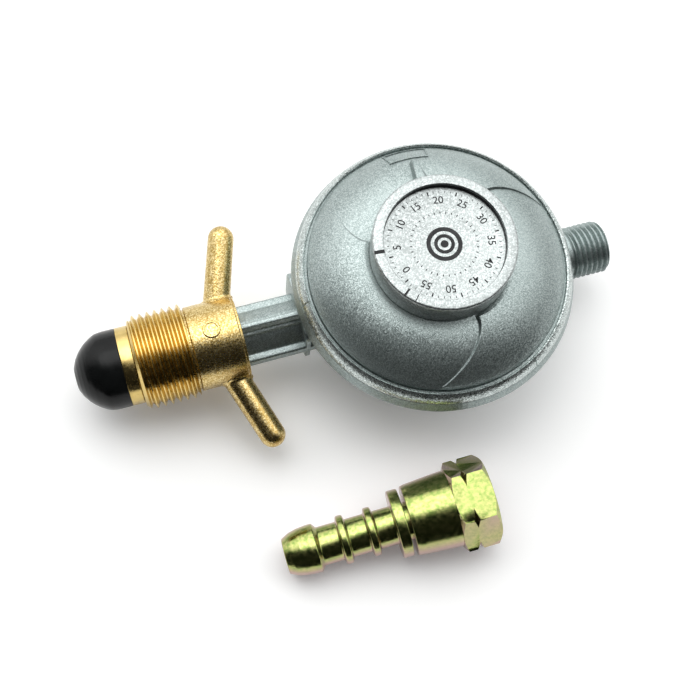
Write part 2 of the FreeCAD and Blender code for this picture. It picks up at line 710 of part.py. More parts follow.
def make_hose_tail():
    tip = -(barb_land + barb_taper)
    back = -barb_land
    land = back + barb_length
    points = [(tip, 0), (tip, tail_tip_radius), (tip + barb_nose_length, tail_tip_radius + barb_nose_rise),
              (tip + barb_shoulder_length, barb_radius - barb_shoulder_drop), (back, barb_radius),
              (land, barb_radius), (land + 0.9, tail_radius)]
    for middle in ring_places:
        low, high = -middle - ring_length / 2, -middle + ring_length / 2
        points += [(low - 0.35, tail_radius), (low, ring_radius), (high, ring_radius), (high + 0.35, tail_radius)]
    collar = -tail_collar_back
    points += [(collar, tail_radius), (collar, tail_collar_radius - 0.3), (collar + 0.3, tail_collar_radius),
               (collar + tail_collar_length, tail_collar_radius), (collar + tail_collar_length, tail_radius)]
    clip = clip_centre()
    points += [(clip - clip_wire, tail_radius), (clip - clip_wire, tail_radius - clip_groove),
               (clip + clip_wire, tail_radius - clip_groove), (clip + clip_wire, tail_radius),
               (tail_front, tail_radius), (tail_front, 0)]
    bore = rod_x(tail_bore, tip - 1, tail_front + 1, 0)
    return place_fitting(turned_x(points).cut(bore))


def clip_centre():
    return tail_front - 3 * clip_wire


def swivel_shoulder():
    return clip_centre() - clip_wire - 0.05


def make_retaining_ring():
    # wire ring in the tail's groove that holds the swivel nut on
    radius = tail_radius - clip_groove + clip_wire
    ring = Part.makeTorus(radius, clip_wire - 0.02, Vector(clip_centre(), 0, 0), Vector(1, 0, 0))
    gap = block((clip_centre() - 1, clip_centre() + 1), (-0.6, 0.6), (0, radius + 2))
    return place_fitting(ring.cut(gap))


def make_sealing_washer():
    start = tail_front
    washer = rod_x(thread_relief_radius - washer_gap, start, start + washer_thickness, 0)
    return place_fitting(washer.cut(rod_x(tail_bore, start - 1, start + washer_thickness + 1, 0)))


def make_swivel_nut():
    # tapered skirt, hexagon with notched corners that mark a left-hand thread, and the thread's core
    prism = hexagon(hex_across_flats, hex_front - hex_back)
    prism.rotate(Vector(0, 0, 0), Vector(0, 1, 0), 90)
    prism.translate(Vector(hex_back, 0, 0))
    corner = hex_across_flats / math.sqrt(3)
    crown = hex_across_flats / 2
    chamfer = 0.75
    rounded = turned_x([(hex_back, 0), (hex_back, crown + 0.1), (hex_back + chamfer, corner + 0.1),
                        (hex_front - chamfer, corner + 0.1), (hex_front, crown + 0.1), (hex_front, 0)])
    notch = turned_x([(hex_groove_at, corner - hex_groove_depth), (hex_groove_at - hex_groove_width / 2, corner + 0.3),
                      (hex_groove_at + hex_groove_width / 2, corner + 0.3)])
    flare = skirt_front_radius - skirt_back_radius
    outline = [(skirt_back + (hex_back - skirt_back) * along, skirt_back_radius + flare * wide)
               for along, wide in skirt_curve]
    skirt = turned_x([(skirt_back, 0)] + outline + [(hex_back + 1, skirt_front_radius), (hex_back + 1, 0)])
    nut = skirt.fuse(prism.common(rounded).cut(notch))
    shoulder = swivel_shoulder()
    core = rod_x(swivel_bore, shoulder, hex_front + 1, 0)
    relief = rod_x(thread_relief_radius, shoulder, tail_front + washer_thickness + washer_gap, 0)
    hole = rod_x(tail_radius + swivel_clearance, skirt_back - 1, shoulder + 1, 0)
    mouth = Part.makeCone(swivel_bore, swivel_bore + 0.8, 0.8, Vector(hex_front - 0.79, 0, 0), Vector(1, 0, 0))
    return place_fitting(nut.cut([core, relief, hole, mouth]))


def main():
    parts = {
        "body_casting": make_body_casting,
        "bonnet": make_bonnet,
        "label_cap": make_label_cap,
        "spring_seat": make_spring_seat,
        "adjuster_screw": make_adjuster_screw,
        "main_spring": make_main_spring,
        "diaphragm": make_diaphragm,
        "diaphragm_plate": make_diaphragm_plate,
        "hook_stem": make_hook_stem,
        "relief_spring": make_relief_spring,
        "relief_retainer": make_relief_retainer,
        "lever": make_lever,
        "lever_pin": make_lever_pin,
        "lever_bracket": make_lever_bracket,
        "bracket_screws": make_bracket_screws,
        "valve_slider": make_valve_slider,
        "valve_pad": make_valve_pad,
        "inlet_nozzle": make_inlet_nozzle,
        "inlet_spigot": make_inlet_spigot,
        "nose_seal": make_nose_seal,
        "inlet_filter": make_inlet_filter,
        "spigot_seal": make_spigot_seal,
        "wing_nut": make_wing_nut,
        "hose_tail": make_hose_tail,
        "retaining_ring": make_retaining_ring,
        "sealing_washer": make_sealing_washer,
        "swivel_nut": make_swivel_nut,
    }
    os.makedirs("parts", exist_ok=True)
    for name, make in parts.items():
        shape = make()
        shape.exportStep("parts/" + name + ".step")
        box = shape.optimalBoundingBox()
        print(f"{name:18s} solids {len(shape.Solids)} valid {shape.isValid()} volume {shape.Volume:9.1f} "
              f"x {box.XMin:7.2f} {box.XMax:7.2f} y {box.YMin:7.2f} {box.YMax:7.2f} z {box.ZMin:6.2f} {box.ZMax:6.2f}")


main()
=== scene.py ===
import bpy
import bmesh
import json
import math
from mathutils import Matrix, Vector


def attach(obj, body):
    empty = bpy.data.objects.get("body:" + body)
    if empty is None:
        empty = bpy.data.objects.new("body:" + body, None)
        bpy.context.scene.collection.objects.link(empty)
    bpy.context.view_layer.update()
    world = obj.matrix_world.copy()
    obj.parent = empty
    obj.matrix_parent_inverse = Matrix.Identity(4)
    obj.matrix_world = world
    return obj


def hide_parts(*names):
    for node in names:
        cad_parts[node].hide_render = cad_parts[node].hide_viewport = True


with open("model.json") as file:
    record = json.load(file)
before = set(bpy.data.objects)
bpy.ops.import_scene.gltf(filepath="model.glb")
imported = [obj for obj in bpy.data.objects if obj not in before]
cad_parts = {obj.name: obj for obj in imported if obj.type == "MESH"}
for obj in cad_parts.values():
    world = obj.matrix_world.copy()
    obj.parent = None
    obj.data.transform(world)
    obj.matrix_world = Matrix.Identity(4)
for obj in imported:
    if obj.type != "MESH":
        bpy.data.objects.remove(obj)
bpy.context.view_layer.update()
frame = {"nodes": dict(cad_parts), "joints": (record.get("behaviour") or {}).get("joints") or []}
mm = 0.001
stemHeight = 14.0  # height of the inlet and outlet axis, mm

print("materials")


def outlet(source):
    # a node stands for its first outlet
    return source.outputs[0] if isinstance(source, bpy.types.Node) else source


def nodeIn(tree, kind, inputs=None, **settings):
    # a new node with its settings; each input gets a link or a value
    node = tree.nodes.new(kind)
    for key, value in settings.items():
        setattr(node, key, value)
    for label, value in (inputs or {}).items():
        value = outlet(value)
        if isinstance(value, bpy.types.NodeSocket):
            tree.links.new(value, node.inputs[label])
        else:
            node.inputs[label].default_value = value
    return node


class Finish:
    # a material under construction, with short names for its usual parts
    def __init__(self, name, metallic=0.0):
        self.material = bpy.data.materials.new(name)
        self.material.use_nodes = True
        self.tree = self.material.node_tree
        self.shader = self.tree.nodes["Principled BSDF"]
        self.shader.inputs["Metallic"].default_value = metallic
        self.coords = self.node("ShaderNodeTexCoord").outputs["Object"]

    def node(self, kind, inputs=None, **settings):
        return nodeIn(self.tree, kind, inputs, **settings)

    def drive(self, label, source):
        self.tree.links.new(outlet(source), self.shader.inputs[label])

    def noise(self, sizeMm, detail=2.0, stretch=(1, 1, 1)):
        place = self.node("ShaderNodeMapping", {"Vector": self.coords, "Scale": stretch})
        inputs = {"Vector": place, "Scale": 1 / (sizeMm * mm), "Detail": detail}
        return self.node("ShaderNodeTexNoise", inputs)

    def flakes(self, sizeMm):
        inputs = {"Vector": self.coords, "Scale": 1 / (sizeMm * mm)}
        return self.node("ShaderNodeTexVoronoi", inputs).outputs["Color"]

    def spread(self, value, low, high, toLow=0.0, toHigh=1.0):
        inputs = {"Value": value, "From Min": low, "From Max": high, "To Min": toLow, "To Max": toHigh}
        return self.node("ShaderNodeMapRange", inputs)

    def patches(self, sizeMm, span=(0.3, 0.7), detail=2.0, values=(0.0, 1.0)):
        # soft blotches between two values; a narrow span makes them distinct
        return self.spread(self.noise(sizeMm, detail), *span, *values)

    def mix(self, factor, a, b):
        inputs = {0: factor}
        for socket, value in ((6, a), (7, b)):
            inputs[socket] = (*value, 1.0) if isinstance(value, tuple) else value
        return self.node("ShaderNodeMix", inputs, data_type="RGBA").outputs[2]

    def vector(self, operation, inputs):
        return self.node("ShaderNodeVectorMath", inputs, operation=operation)

    def lean(self, flakes, amount):
        # turns each flake its own way by a little, as flakes lie in metallic paint
        turn = self.vector("MULTIPLY_ADD", {0: flakes, 1: (2 * amount,) * 3, 2: (-amount,) * 3})
        normal = self.node("ShaderNodeNewGeometry").outputs["Normal"]
        self.drive("Normal", self.vector("NORMALIZE", {0: self.vector("ADD", {0: normal, 1: turn})}))

    def bump(self, height, depthMm):
        inputs = {"Height": height, "Distance": depthMm * mm}
        normal = self.shader.inputs["Normal"]
        if normal.is_linked:
            inputs["Normal"] = normal.links[0].from_socket
        self.drive("Normal", self.node("ShaderNodeBump", inputs))


def flakedMetal(name, look):
    # metallic paint or plating: two tones, fine flakes, uneven gloss and a light grain
    f = Finish(name, look["metallic"])
    flakes = f.flakes(look["flake"])
    share = f.spread(f.node("ShaderNodeSeparateColor", {"Color": flakes}), look["flakeFrom"], 1.0)
    f.drive("Base Color", f.mix(share, f.mix(f.patches(look["cloud"]), look["dark"], look["light"]), look["glint"]))
    f.drive("Roughness", f.patches(look["gloss"], values=look["rough"]))
    f.lean(flakes, look["lean"])
    f.bump(f.noise(look["grain"], 3.0), look["grainDepth"])
    return f.material


def turnedMetal(name, look):
    # machined metal: fine tool marks round the axis, slight staining
    f = Finish(name, 1.0)
    f.drive("Base Color", f.mix(f.patches(look["cloud"]), look["dark"], look["light"]))
    f.drive("Roughness", f.patches(look["gloss"], values=look["rough"]))
    f.bump(f.noise(look["mark"], 1.0, look["stretch"]), look["markDepth"])
    return f.material


def platedZinc(name, look):
    # yellow passivated zinc: a green-gold film where it faces up, a painted pink sheen and floor reflection towards
    # the sides and below, and a rolled grain
    f = Finish(name, 1.0)
    film = f.mix(f.patches(look["cloud"], look["cloudSpan"], 3.0), look["green"], look["gold"])
    normal = f.node("ShaderNodeNewGeometry").outputs["Normal"]
    upwards = f.node("ShaderNodeSeparateXYZ", {"Vector": normal}).outputs["Z"]
    # painted sheen: faces that point sideways or down turn pink, faces that point up keep the film colour
    f.drive("Base Color", f.mix(f.spread(upwards, look["sheenBelow"], look["filmAbove"]), look["paintedSheen"], film))
    f.drive("Roughness", f.patches(look["gloss"], detail=3.0, values=look["rough"]))
    f.bump(f.noise(look["grain"]), look["grainDepth"])
    return f.material


def plainFinish(name, look):
    # rubber and plastics: nearly even colour, soft mottling, moulded grain
    f = Finish(name)
    f.shader.inputs["Specular IOR Level"].default_value = look["specular"]
    f.drive("Base Color", f.mix(f.patches(look["cloud"], (0.35, 0.7), 4.0), look["dark"], look["light"]))
    f.drive("Roughness", f.patches(look["gloss"], values=look["rough"]))
    f.bump(f.noise(look["grain"], 3.0), look["grainDepth"])
    return f.material


# sizes in mm: cloud and gloss are patches, flake and grain fine texture, mark the tool marks
castLook = {"metallic": 0.86, "cloud": 9.0, "dark": (0.222, 0.268, 0.26), "light": (0.274, 0.324, 0.316),
            "flake": 0.18, "flakeFrom": 0.3, "glint": (0.47, 0.535, 0.525), "lean": 0.09,
            "gloss": 0.27, "rough": (0.34, 0.46), "grain": 0.35, "grainDepth": 0.016}
# the rim's paint is the casting paint made lighter: a painted highlight on the rolled bead
rimHighlightLook = {"metallic": 0.9, "cloud": 4.0, "dark": (0.297, 0.336, 0.326), "light": (0.39, 0.437, 0.426),
           "flake": 0.24, "flakeFrom": 0.3, "glint": (0.76, 0.83, 0.81), "lean": 0.08,
           "gloss": 0.36, "rough": (0.22, 0.34), "grain": 0.35, "grainDepth": 0.016}
capLook = {"metallic": 0.9, "cloud": 7.0, "dark": (0.272, 0.295, 0.29), "light": (0.33, 0.36, 0.354),
           "flake": 0.28, "flakeFrom": 0.3, "glint": (0.56, 0.6, 0.595), "lean": 0.05,
           "gloss": 0.42, "rough": (0.3, 0.4), "grain": 0.3, "grainDepth": 0.011}
blastedLook = {"metallic": 1.0, "cloud": 6.0, "dark": (0.42, 0.28, 0.085), "light": (0.51, 0.36, 0.12),
               "flake": 0.26, "flakeFrom": 0.35, "glint": (0.86, 0.70, 0.36), "lean": 0.04,
               "gloss": 0.39, "rough": (0.22, 0.34), "grain": 0.45, "grainDepth": 0.035}
brassLook = {"cloud": 4.0, "dark": (0.56, 0.41, 0.14), "light": (0.72, 0.54, 0.21), "gloss": 0.8,
             "rough": (0.16, 0.28), "mark": 0.25, "stretch": (1, 0.02, 0.02), "markDepth": 0.008}
steelLook = {"cloud": 3.0, "dark": (0.50, 0.51, 0.52), "light": (0.62, 0.63, 0.64), "gloss": 0.8,
             "rough": (0.25, 0.4), "mark": 0.3, "stretch": (1, 1, 0.1), "markDepth": 0.005}
# the pink colour is a painted sheen and floor reflection on the sides of the zinc; green and gold are the film
zincLook = {"cloud": 0.9, "cloudSpan": (0.35, 0.65), "green": (0.25, 0.34, 0.09), "gold": (0.48, 0.49, 0.18),
            "paintedSheen": (0.45, 0.30, 0.25), "sheenBelow": 0.28, "filmAbove": 0.62, "gloss": 0.9, "rough": (0.14, 0.26),
            "grain": 0.32, "grainDepth": 0.012}
rubberLook = {"cloud": 5.0, "dark": (0.004, 0.0045, 0.0045), "light": (0.008, 0.009, 0.009), "specular": 0.17,
              "gloss": 1.1, "rough": (0.16, 0.26), "grain": 0.5, "grainDepth": 0.012}
# this dark also paints the shade in the cap ring's notches
inkAndShadeLook = {"cloud": 3.0, "dark": (0.02, 0.021, 0.022), "light": (0.045, 0.046, 0.048), "specular": 0.3,
           "gloss": 1.1, "rough": (0.55, 0.7), "grain": 0.3, "grainDepth": 0.003}
# this black also paints the shade on the cap's recess wall
plasticAndShadeLook = {"cloud": 4.0, "dark": (0.012, 0.012, 0.013), "light": (0.022, 0.022, 0.024), "specular": 0.3,
               "gloss": 1.1, "rough": (0.4, 0.55), "grain": 0.6, "grainDepth": 0.01}

castPaint = flakedMetal("castPaint", castLook)
rimHighlightPaint = flakedMetal("rimHighlightPaint", rimHighlightLook)
capSilver = flakedMetal("capSilver", capLook)
blastedBrass = flakedMetal("blastedBrass", blastedLook)
machinedBrass = turnedMetal("machinedBrass", brassLook)
springSteel = turnedMetal("springSteel", steelLook)
passivatedZinc = platedZinc("passivatedZinc", zincLook)
blackRubber = plainFinish("blackRubber", rubberLook)
inkAndNotchShade = plainFinish("inkAndNotchShade", inkAndShadeLook)
blackPlasticAndRecessShade = plainFinish("blackPlasticAndRecessShade", plasticAndShadeLook)

print("mesh helpers")


def ramp(value, start, end):
    # 0 before start, 1 past end
    return min(max((value - start) / (end - start), 0.0), 1.0)


def roundedOutline(points, steps=4):
    # replaces each corner that states a radius by an arc
    result = []
    for i, point in enumerate(points):
        here = Vector(point[:2])
        if len(point) < 3:
            result.append(here)
            continue
        back = Vector(points[i - 1][:2]) - here
        ahead = Vector(points[(i + 1) % len(points)][:2]) - here
        half = back.angle(ahead) / 2
        reach = min(point[2] / math.tan(half), 0.48 * back.length, 0.48 * ahead.length)
        radius = reach * math.tan(half)
        centre = here + (back.normalized() + ahead.normalized()).normalized() * (radius / math.sin(half))
        first = here + back.normalized() * reach - centre
        last = here + ahead.normalized() * reach - centre
        for k in range(steps + 1):
            result.append(centre + first.slerp(last, k / steps) * radius)
    return result


def arcThrough(first, middle, last, count):
    # points of the circle through three points, first and last included
    a, b, c = Vector(first), Vector(middle), Vector(last)
    d = 2 * (a.x * (b.y - c.y) + b.x * (c.y - a.y) + c.x * (a.y - b.y))
    ux = (a.length_squared * (b.y - c.y) + b.length_squared * (c.y - a.y) + c.length_squared * (a.y - b.y)) / d
    uy = (a.length_squared * (c.x - b.x) + b.length_squared * (a.x - c.x) + c.length_squared * (b.x - a.x)) / d
    centre = Vector((ux, uy))
    radius = (a - centre).length
    return [tuple(centre + (a - centre).slerp(c - centre, k / (count - 1)) * radius) for k in range(count)]


def turnAbout(axis, degrees):
    return Matrix.Rotation(math.radians(degrees), 4, axis)


alongX = Matrix.Translation((0, 0, stemHeight)) @ turnAbout("Y", 90)
upright = Matrix.Identity(4)
sharpEdge = 32  # degrees between faces, past which an edge stays sharp
softEdge = 40  # the same on curved covers and flats
bevelledEdge = 50  # the same where a bevel already rounds the edges


def placed(name, data):
    holder = bpy.data.objects.new(name, data)
    bpy.context.scene.collection.objects.link(holder)
    return holder


def meshFrom(name, bm):
    mesh = bpy.data.meshes.new(name)
    bm.to_mesh(mesh)
    bm.free()
    return mesh


def smooth(mesh, sharpAngle):
    mesh.shade_smooth()
    mesh.set_sharp_from_angle(angle=math.radians(sharpAngle))


def finished(name, bm, material, sharpAngle=sharpEdge):
    # makes a named object from a bmesh, still in millimetres
    bmesh.ops.remove_doubles(bm, verts=bm.verts, dist=0.0005)
    bmesh.ops.recalc_face_normals(bm, faces=bm.faces)
    if bm.calc_volume(signed=True) < 0:
        bmesh.ops.reverse_faces(bm, faces=bm.faces)
    mesh = meshFrom(name, bm)
    smooth(mesh, sharpAngle)
    mesh.materials.append(material)
    return placed(name, mesh)


def turned(outline, segments=96, place=alongX, angles=None, relief=None):
    # solid of revolution from (along, radius) points; the outline is closed from its last point to its first
    bm = bmesh.new()
    angles = angles or [2 * math.pi * j / segments for j in range(segments)]
    rings = []
    for along, radius in outline:
        if radius < 0.001:
            rings.append([bm.verts.new(place @ Vector((0, 0, along)))])
            continue
        ring = []
        for angle in angles:
            turn, lift = relief(along, radius, angle) if relief else (0.0, 0.0)
            a = angle + turn
            ring.append(bm.verts.new(place @ Vector((radius * math.cos(a), radius * math.sin(a), along + lift))))
        rings.append(ring)
    for i, ring in enumerate(rings):
        after = rings[(i + 1) % len(rings)]
        if len(ring) == 1 and len(after) == 1:
            continue
        for j in range(len(angles)):
            k = (j + 1) % len(angles)
            corners = [ring[j % len(ring)], ring[k % len(ring)], after[k % len(after)], after[j % len(after)]]
            unique = list(dict.fromkeys(corners))
            if len(unique) > 2:
                bm.faces.new(unique)
    return bm


def lathe(name, points, material, segments=128, place=alongX, steps=4):
    return finished(name, turned(roundedOutline(points, steps), segments, place), material)


def lofted(bm, rows):
    # skins a run of equal rings and closes both ends
    for one, two in zip(rows, rows[1:]):
        for j in range(len(one)):
            k = (j + 1) % len(one)
            bm.faces.new((one[j], one[k], two[k], two[j]))
    bm.faces.new(rows[0])
    bm.faces.new(rows[-1])
    return bm


def extruded(outline, start, end, place=alongX):
    # prism of a closed outline in the (across, up) plane
    bm = bmesh.new()
    return lofted(bm, [[bm.verts.new(place @ Vector((x, y, along))) for x, y in outline] for along in (start, end)])


def evaluated(piece):
    # the piece's shape with its modifiers, as a plain mesh
    return bpy.data.meshes.new_from_object(piece.evaluated_get(bpy.context.evaluated_depsgraph_get()))


def boolean(target, tool, operation):
    # cuts or joins exactly, and drops the tool
    modifier = target.modifiers.new("shape", "BOOLEAN")
    modifier.operation = operation
    modifier.solver = "MANIFOLD"
    modifier.object = tool
    bakeModifiers(target)
    bpy.data.objects.remove(tool)


def bakeModifiers(piece):
    mesh = evaluated(piece)
    piece.modifiers.clear()
    piece.data = mesh


def edgeBreak(piece, widthMm, angle=28):
    # small bevel on every real edge
    modifier = piece.modifiers.new("edges", "BEVEL")
    modifier.width = widthMm
    modifier.segments = 2
    modifier.limit_method = "ANGLE"
    modifier.angle_limit = math.radians(angle)
    modifier.miter_outer = "MITER_ARC"
    bakeModifiers(piece)
    smooth(piece.data, bevelledEdge)


def flatFaces(piece, sharpAngle):
    # keeps large flat faces evenly lit beside their bevels
    smooth(piece.data, sharpAngle)
    modifier = piece.modifiers.new("normals", "WEIGHTED_NORMAL")
    modifier.mode = "FACE_AREA"
    modifier.weight = 100
    modifier.keep_sharp = True
    bakeModifiers(piece)


def joined(name, pieces):
    # several shells in one mesh, each face keeping its own material
    bm = bmesh.new()
    materials = []
    for piece in pieces:
        for material in piece.data.materials:
            if material not in materials:
                materials.append(material)
        before = len(bm.faces)
        bm.from_mesh(piece.data)
        bm.faces.ensure_lookup_table()
        for face in bm.faces[before:]:
            face.material_index = materials.index(piece.data.materials[face.material_index])
    mesh = meshFrom(name, bm)
    for material in materials:
        mesh.materials.append(material)
    for piece in pieces:
        bpy.data.objects.remove(piece)
    return placed(name, mesh)


def settle(piece, body, node):
    # metres, and the body and node that the piece belongs to
    piece.data.transform(Matrix.Scale(mm, 4))
    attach(piece, body)
    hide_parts(node)


print("node trees")


def openTree(name, sockets):
    # a group with its named inputs; gives their outlets too
    tree = bpy.data.node_groups.new(name, "GeometryNodeTree")
    tree.interface.new_socket("Geometry", in_out="OUTPUT", socket_type="NodeSocketGeometry")
    for label, kind in sockets.items():
        tree.interface.new_socket(label, in_out="INPUT", socket_type="NodeSocket" + kind)
    return tree, tree.nodes.new("NodeGroupInput").outputs


def closeTree(tree, geometry, material):
    real = nodeIn(tree, "GeometryNodeRealizeInstances", {"Geometry": geometry})
    paint = nodeIn(tree, "GeometryNodeSetMaterial", {"Geometry": real, "Material": material})
    nodeIn(tree, "NodeGroupOutput", {"Geometry": paint})
    return tree


def threadTree():
    # a tapered ridge swept along a left-hand helix about Z, running out at both ends
    tree, given = openTree("leftHandThread", {
        "Root radius": "Float", "Depth": "Float", "Pitch": "Float", "Turns": "Float", "Base width": "Float",
        "Crest width": "Float", "Run out": "Float", "Material": "Material"})

    def node(kind, inputs=None, **settings):
        return nodeIn(tree, kind, inputs, **settings)

    def maths(operation, a, b):
        return node("ShaderNodeMath", {0: a, 1: b}, operation=operation)

    def vector(operation, inputs):
        return node("ShaderNodeVectorMath", inputs, operation=operation)

    middle = maths("ADD", given["Root radius"], maths("MULTIPLY", given["Depth"], 0.5))
    spiral = node("GeometryNodeCurveSpiral", {
        "Resolution": 96, "Rotations": given["Turns"], "Start Radius": middle, "End Radius": middle,
        "Height": maths("MULTIPLY", given["Pitch"], given["Turns"])})
    level = node("GeometryNodeSetCurveNormal", {"Curve": spiral}, mode="Z_UP")
    # near both ends the ridge sinks by its own depth
    factor = node("GeometryNodeSplineParameter")
    share = maths("DIVIDE", given["Run out"], given["Turns"])
    rise = maths("MINIMUM", maths("DIVIDE", factor, share), 1.0)
    fall = maths("MINIMUM", maths("DIVIDE", maths("SUBTRACT", 1.0, factor), share), 1.0)
    sink = maths("SUBTRACT", 1.0, maths("MINIMUM", rise, fall))
    sunk = maths("MULTIPLY", maths("MULTIPLY", sink, given["Depth"]), -1.05)
    flat = vector("MULTIPLY", {0: node("GeometryNodeInputPosition"), 1: (1, 1, 0)})
    shift = vector("SCALE", {0: vector("NORMALIZE", {0: flat}), "Scale": sunk})
    path = node("GeometryNodeSetPosition", {"Geometry": level, "Offset": shift})
    ridge = node("GeometryNodeCurvePrimitiveQuadrilateral", {
        "Height": given["Depth"], "Bottom Width": given["Base width"], "Top Width": given["Crest width"],
        "Offset": 0.0}, mode="TRAPEZOID")
    outward = node("GeometryNodeTransform", {"Geometry": ridge, "Rotation": (0, 0, math.radians(90))})
    sweep = node("GeometryNodeCurveToMesh", {"Curve": path, "Profile Curve": outward, "Fill Caps": True})
    leftHand = node("GeometryNodeTransform", {"Geometry": sweep, "Scale": (1, 1, -1)})
    return closeTree(tree, node("GeometryNodeFlipFaces", {"Mesh": leftHand}), given["Material"])


def tickTree():
    # a ring of small bars about Z, each pointing at the centre
    tree, given = openTree("tickRing", {"Count": "Int", "Radius": "Float", "Length": "Float", "Width": "Float",
                                        "Thickness": "Float", "Material": "Material"})
    circle = nodeIn(tree, "GeometryNodeMeshCircle", {"Vertices": given["Count"], "Radius": given["Radius"]})
    size = nodeIn(tree, "ShaderNodeCombineXYZ", {"X": given["Length"], "Y": given["Width"], "Z": given["Thickness"]})
    bar = nodeIn(tree, "GeometryNodeMeshCube", {"Size": size})
    place = nodeIn(tree, "GeometryNodeInputPosition")
    aim = nodeIn(tree, "FunctionNodeAlignRotationToVector", {"Vector": place}, axis="X", pivot_axis="Z")
    copies = nodeIn(tree, "GeometryNodeInstanceOnPoints", {"Points": circle, "Instance": bar, "Rotation": aim})
    return closeTree(tree, copies, given["Material"])


def grown(name, tree, values, place, material):
    # runs a node tree with its named inputs and bakes the result to a plain mesh
    holder = placed(name, bpy.data.meshes.new(name + "Seed"))
    modifier = holder.modifiers.new("nodes", "NODES")
    modifier.node_group = tree
    values = {**values, "Material": material}
    for item in tree.interface.items_tree:
        if item.in_out == "INPUT":
            modifier[item.identifier] = values[item.name]
    bakeModifiers(holder)
    holder.data.materials.clear()
    holder.data.materials.append(material)
    holder.data.transform(place)
    smooth(holder.data, sharpEdge)
    return holder


# for both threads: bury and over in mm, base and crest as shares of the pitch, spare and runOut in turns
ridgeSizes = {"bury": 0.05, "over": 0.2, "base": 0.88, "crest": 0.14, "spare": 1.2, "runOut": 0.2}


def cutThread(name, front, back, chamferAtFront, s, material):
    # left-hand ridge over the whole length, cut flush at both ends and chamfered at its free end
    ridge = ridgeSizes
    root, over = s["crest"] - s["depth"], s["crest"] + ridge["over"]
    values = {"Root radius": root - ridge["bury"], "Depth": s["depth"] + ridge["bury"], "Pitch": s["pitch"],
              "Turns": (back - front) / s["pitch"] + ridge["spare"], "Base width": s["pitch"] * ridge["base"],
              "Crest width": s["pitch"] * ridge["crest"], "Run out": ridge["runOut"]}
    place = alongX @ Matrix.Translation((0, 0, back + s["pitch"] * s["lead"]))
    thread = grown(name, leftHandThread, values, place, material)
    frontCut, backCut = (over - root, 0.0) if chamferAtFront else (0.0, over - root)
    limit = [(front, root - 1.0), (front, over - frontCut), (front + frontCut, over), (back - backCut, over),
             (back, over - backCut), (back, root - 1.0)]
    boolean(thread, lathe("limit", limit, material), "INTERSECT")
    smooth(thread.data, sharpEdge)
    return thread


leftHandThread = threadTree()
tickRing = tickTree()

print("casting")

castSizes = {
    "baseRadius": 20.5, "housingRadius": 21.5, "housingHeight": 8.0, "flareRadius": 31.0, "flareTop": 21.0,
    "flareSwell": 0.68, "wall": 2.7, "floor": 2.5, "rimRadius": 33.95, "rimHeight": 25.0, "creaseBottom": 27.5,
    "creaseTop": 27.8, "creaseDepth": 0.15, "beadRadius": 33.0, "beadMiddle": 32.4, "seatHeight": 26.5,
    "flangeTop": 29.2, "lipTop": 30.6, "lipInner": 31.0, "seatInner": 29.5, "flangeGap": 31.83, "chamberBottom": 22.5,
}
nickSizes = {"angles": (-178.0, -61.6, 40.0), "width": 0.3, "reach": 1.1, "lean": -32}
stemSizes = {"end": -50.0, "inner": -22.5, "envelope": 7.55, "pedestal": 5.75, "panel": 5.05, "topRib": 0.7,
             "sideRib": 1.65, "hollow": 5.65, "pedestalAngle": 19.0, "hole": 4.23, "holeDepth": 12.2}
plateSizes = {"back": -33.2, "front": -32.0, "near": 7.3, "far": 11.0, "round": 3.0}
outletSizes = {"neck": 5.9, "start": 37.7, "end": 46.3, "crest": 6.5785, "depth": 0.856, "pitch": 1.337, "lead": 0.5,
               "bore": 2.8, "seat": 4.4, "seatDepth": 2.2, "inner": 24.0}


def castBowl():
    s = castSizes
    flare = arcThrough((s["flareTop"], s["flareRadius"]),
                       ((s["flareTop"] + s["rimHeight"]) / 2,
                        (s["flareRadius"] + s["rimRadius"]) / 2 + s["flareSwell"]),
                       (s["rimHeight"], s["rimRadius"]), 14)
    crown = arcThrough((s["creaseTop"], s["beadRadius"] - 0.02), (s["lipTop"] - 1.2, s["beadMiddle"]),
                       (s["lipTop"], s["lipInner"] + 0.4), 16)
    crease = s["beadRadius"] - s["creaseDepth"]
    points = [(0, 0), (0, s["baseRadius"], 0.8), (1.2, s["housingRadius"], 0.8),
              (s["housingHeight"], s["housingRadius"], 2.5)]
    points += flare
    points += [(s["rimHeight"] + 0.5, s["rimRadius"] - 0.12, 0.5), (s["creaseBottom"], s["beadRadius"], 0.12),
               (s["creaseBottom"] + 0.08, crease, 0.05), (s["creaseTop"] - 0.08, crease, 0.05)]
    points += crown
    points += [(s["lipTop"] - 0.2, s["lipInner"], 0.2), (s["flangeTop"], s["lipInner"]),
               (s["flangeTop"], s["flangeGap"]), (s["seatHeight"], s["flangeGap"]), (s["seatHeight"], s["seatInner"]),
               (s["chamberBottom"], s["seatInner"]), (s["flareTop"], s["flareRadius"] - s["wall"]),
               (s["housingHeight"] + 0.5, s["housingRadius"] - s["wall"]),
               (s["floor"], s["housingRadius"] - s["wall"]), (s["floor"], 0)]
    return lathe("bodyCasting", points, castPaint, 256, upright)


def rimNicks():
    # fine cuts across the rolled rim where it was split to be bent over
    s, rim = nickSizes, castSizes
    bm = bmesh.new()
    size = Matrix.Diagonal((s["reach"], s["width"], rim["lipTop"] - rim["creaseTop"] + 1.2, 1))
    lean = turnAbout("Y", s["lean"])
    middle = Matrix.Translation((rim["beadMiddle"], 0, rim["lipTop"] - 1.2))
    for degrees in s["angles"]:
        turn = turnAbout("Z", degrees)
        bmesh.ops.create_cube(bm, size=1.0, matrix=turn @ middle @ lean @ size)
    return finished("rimNicks", bm, castPaint)


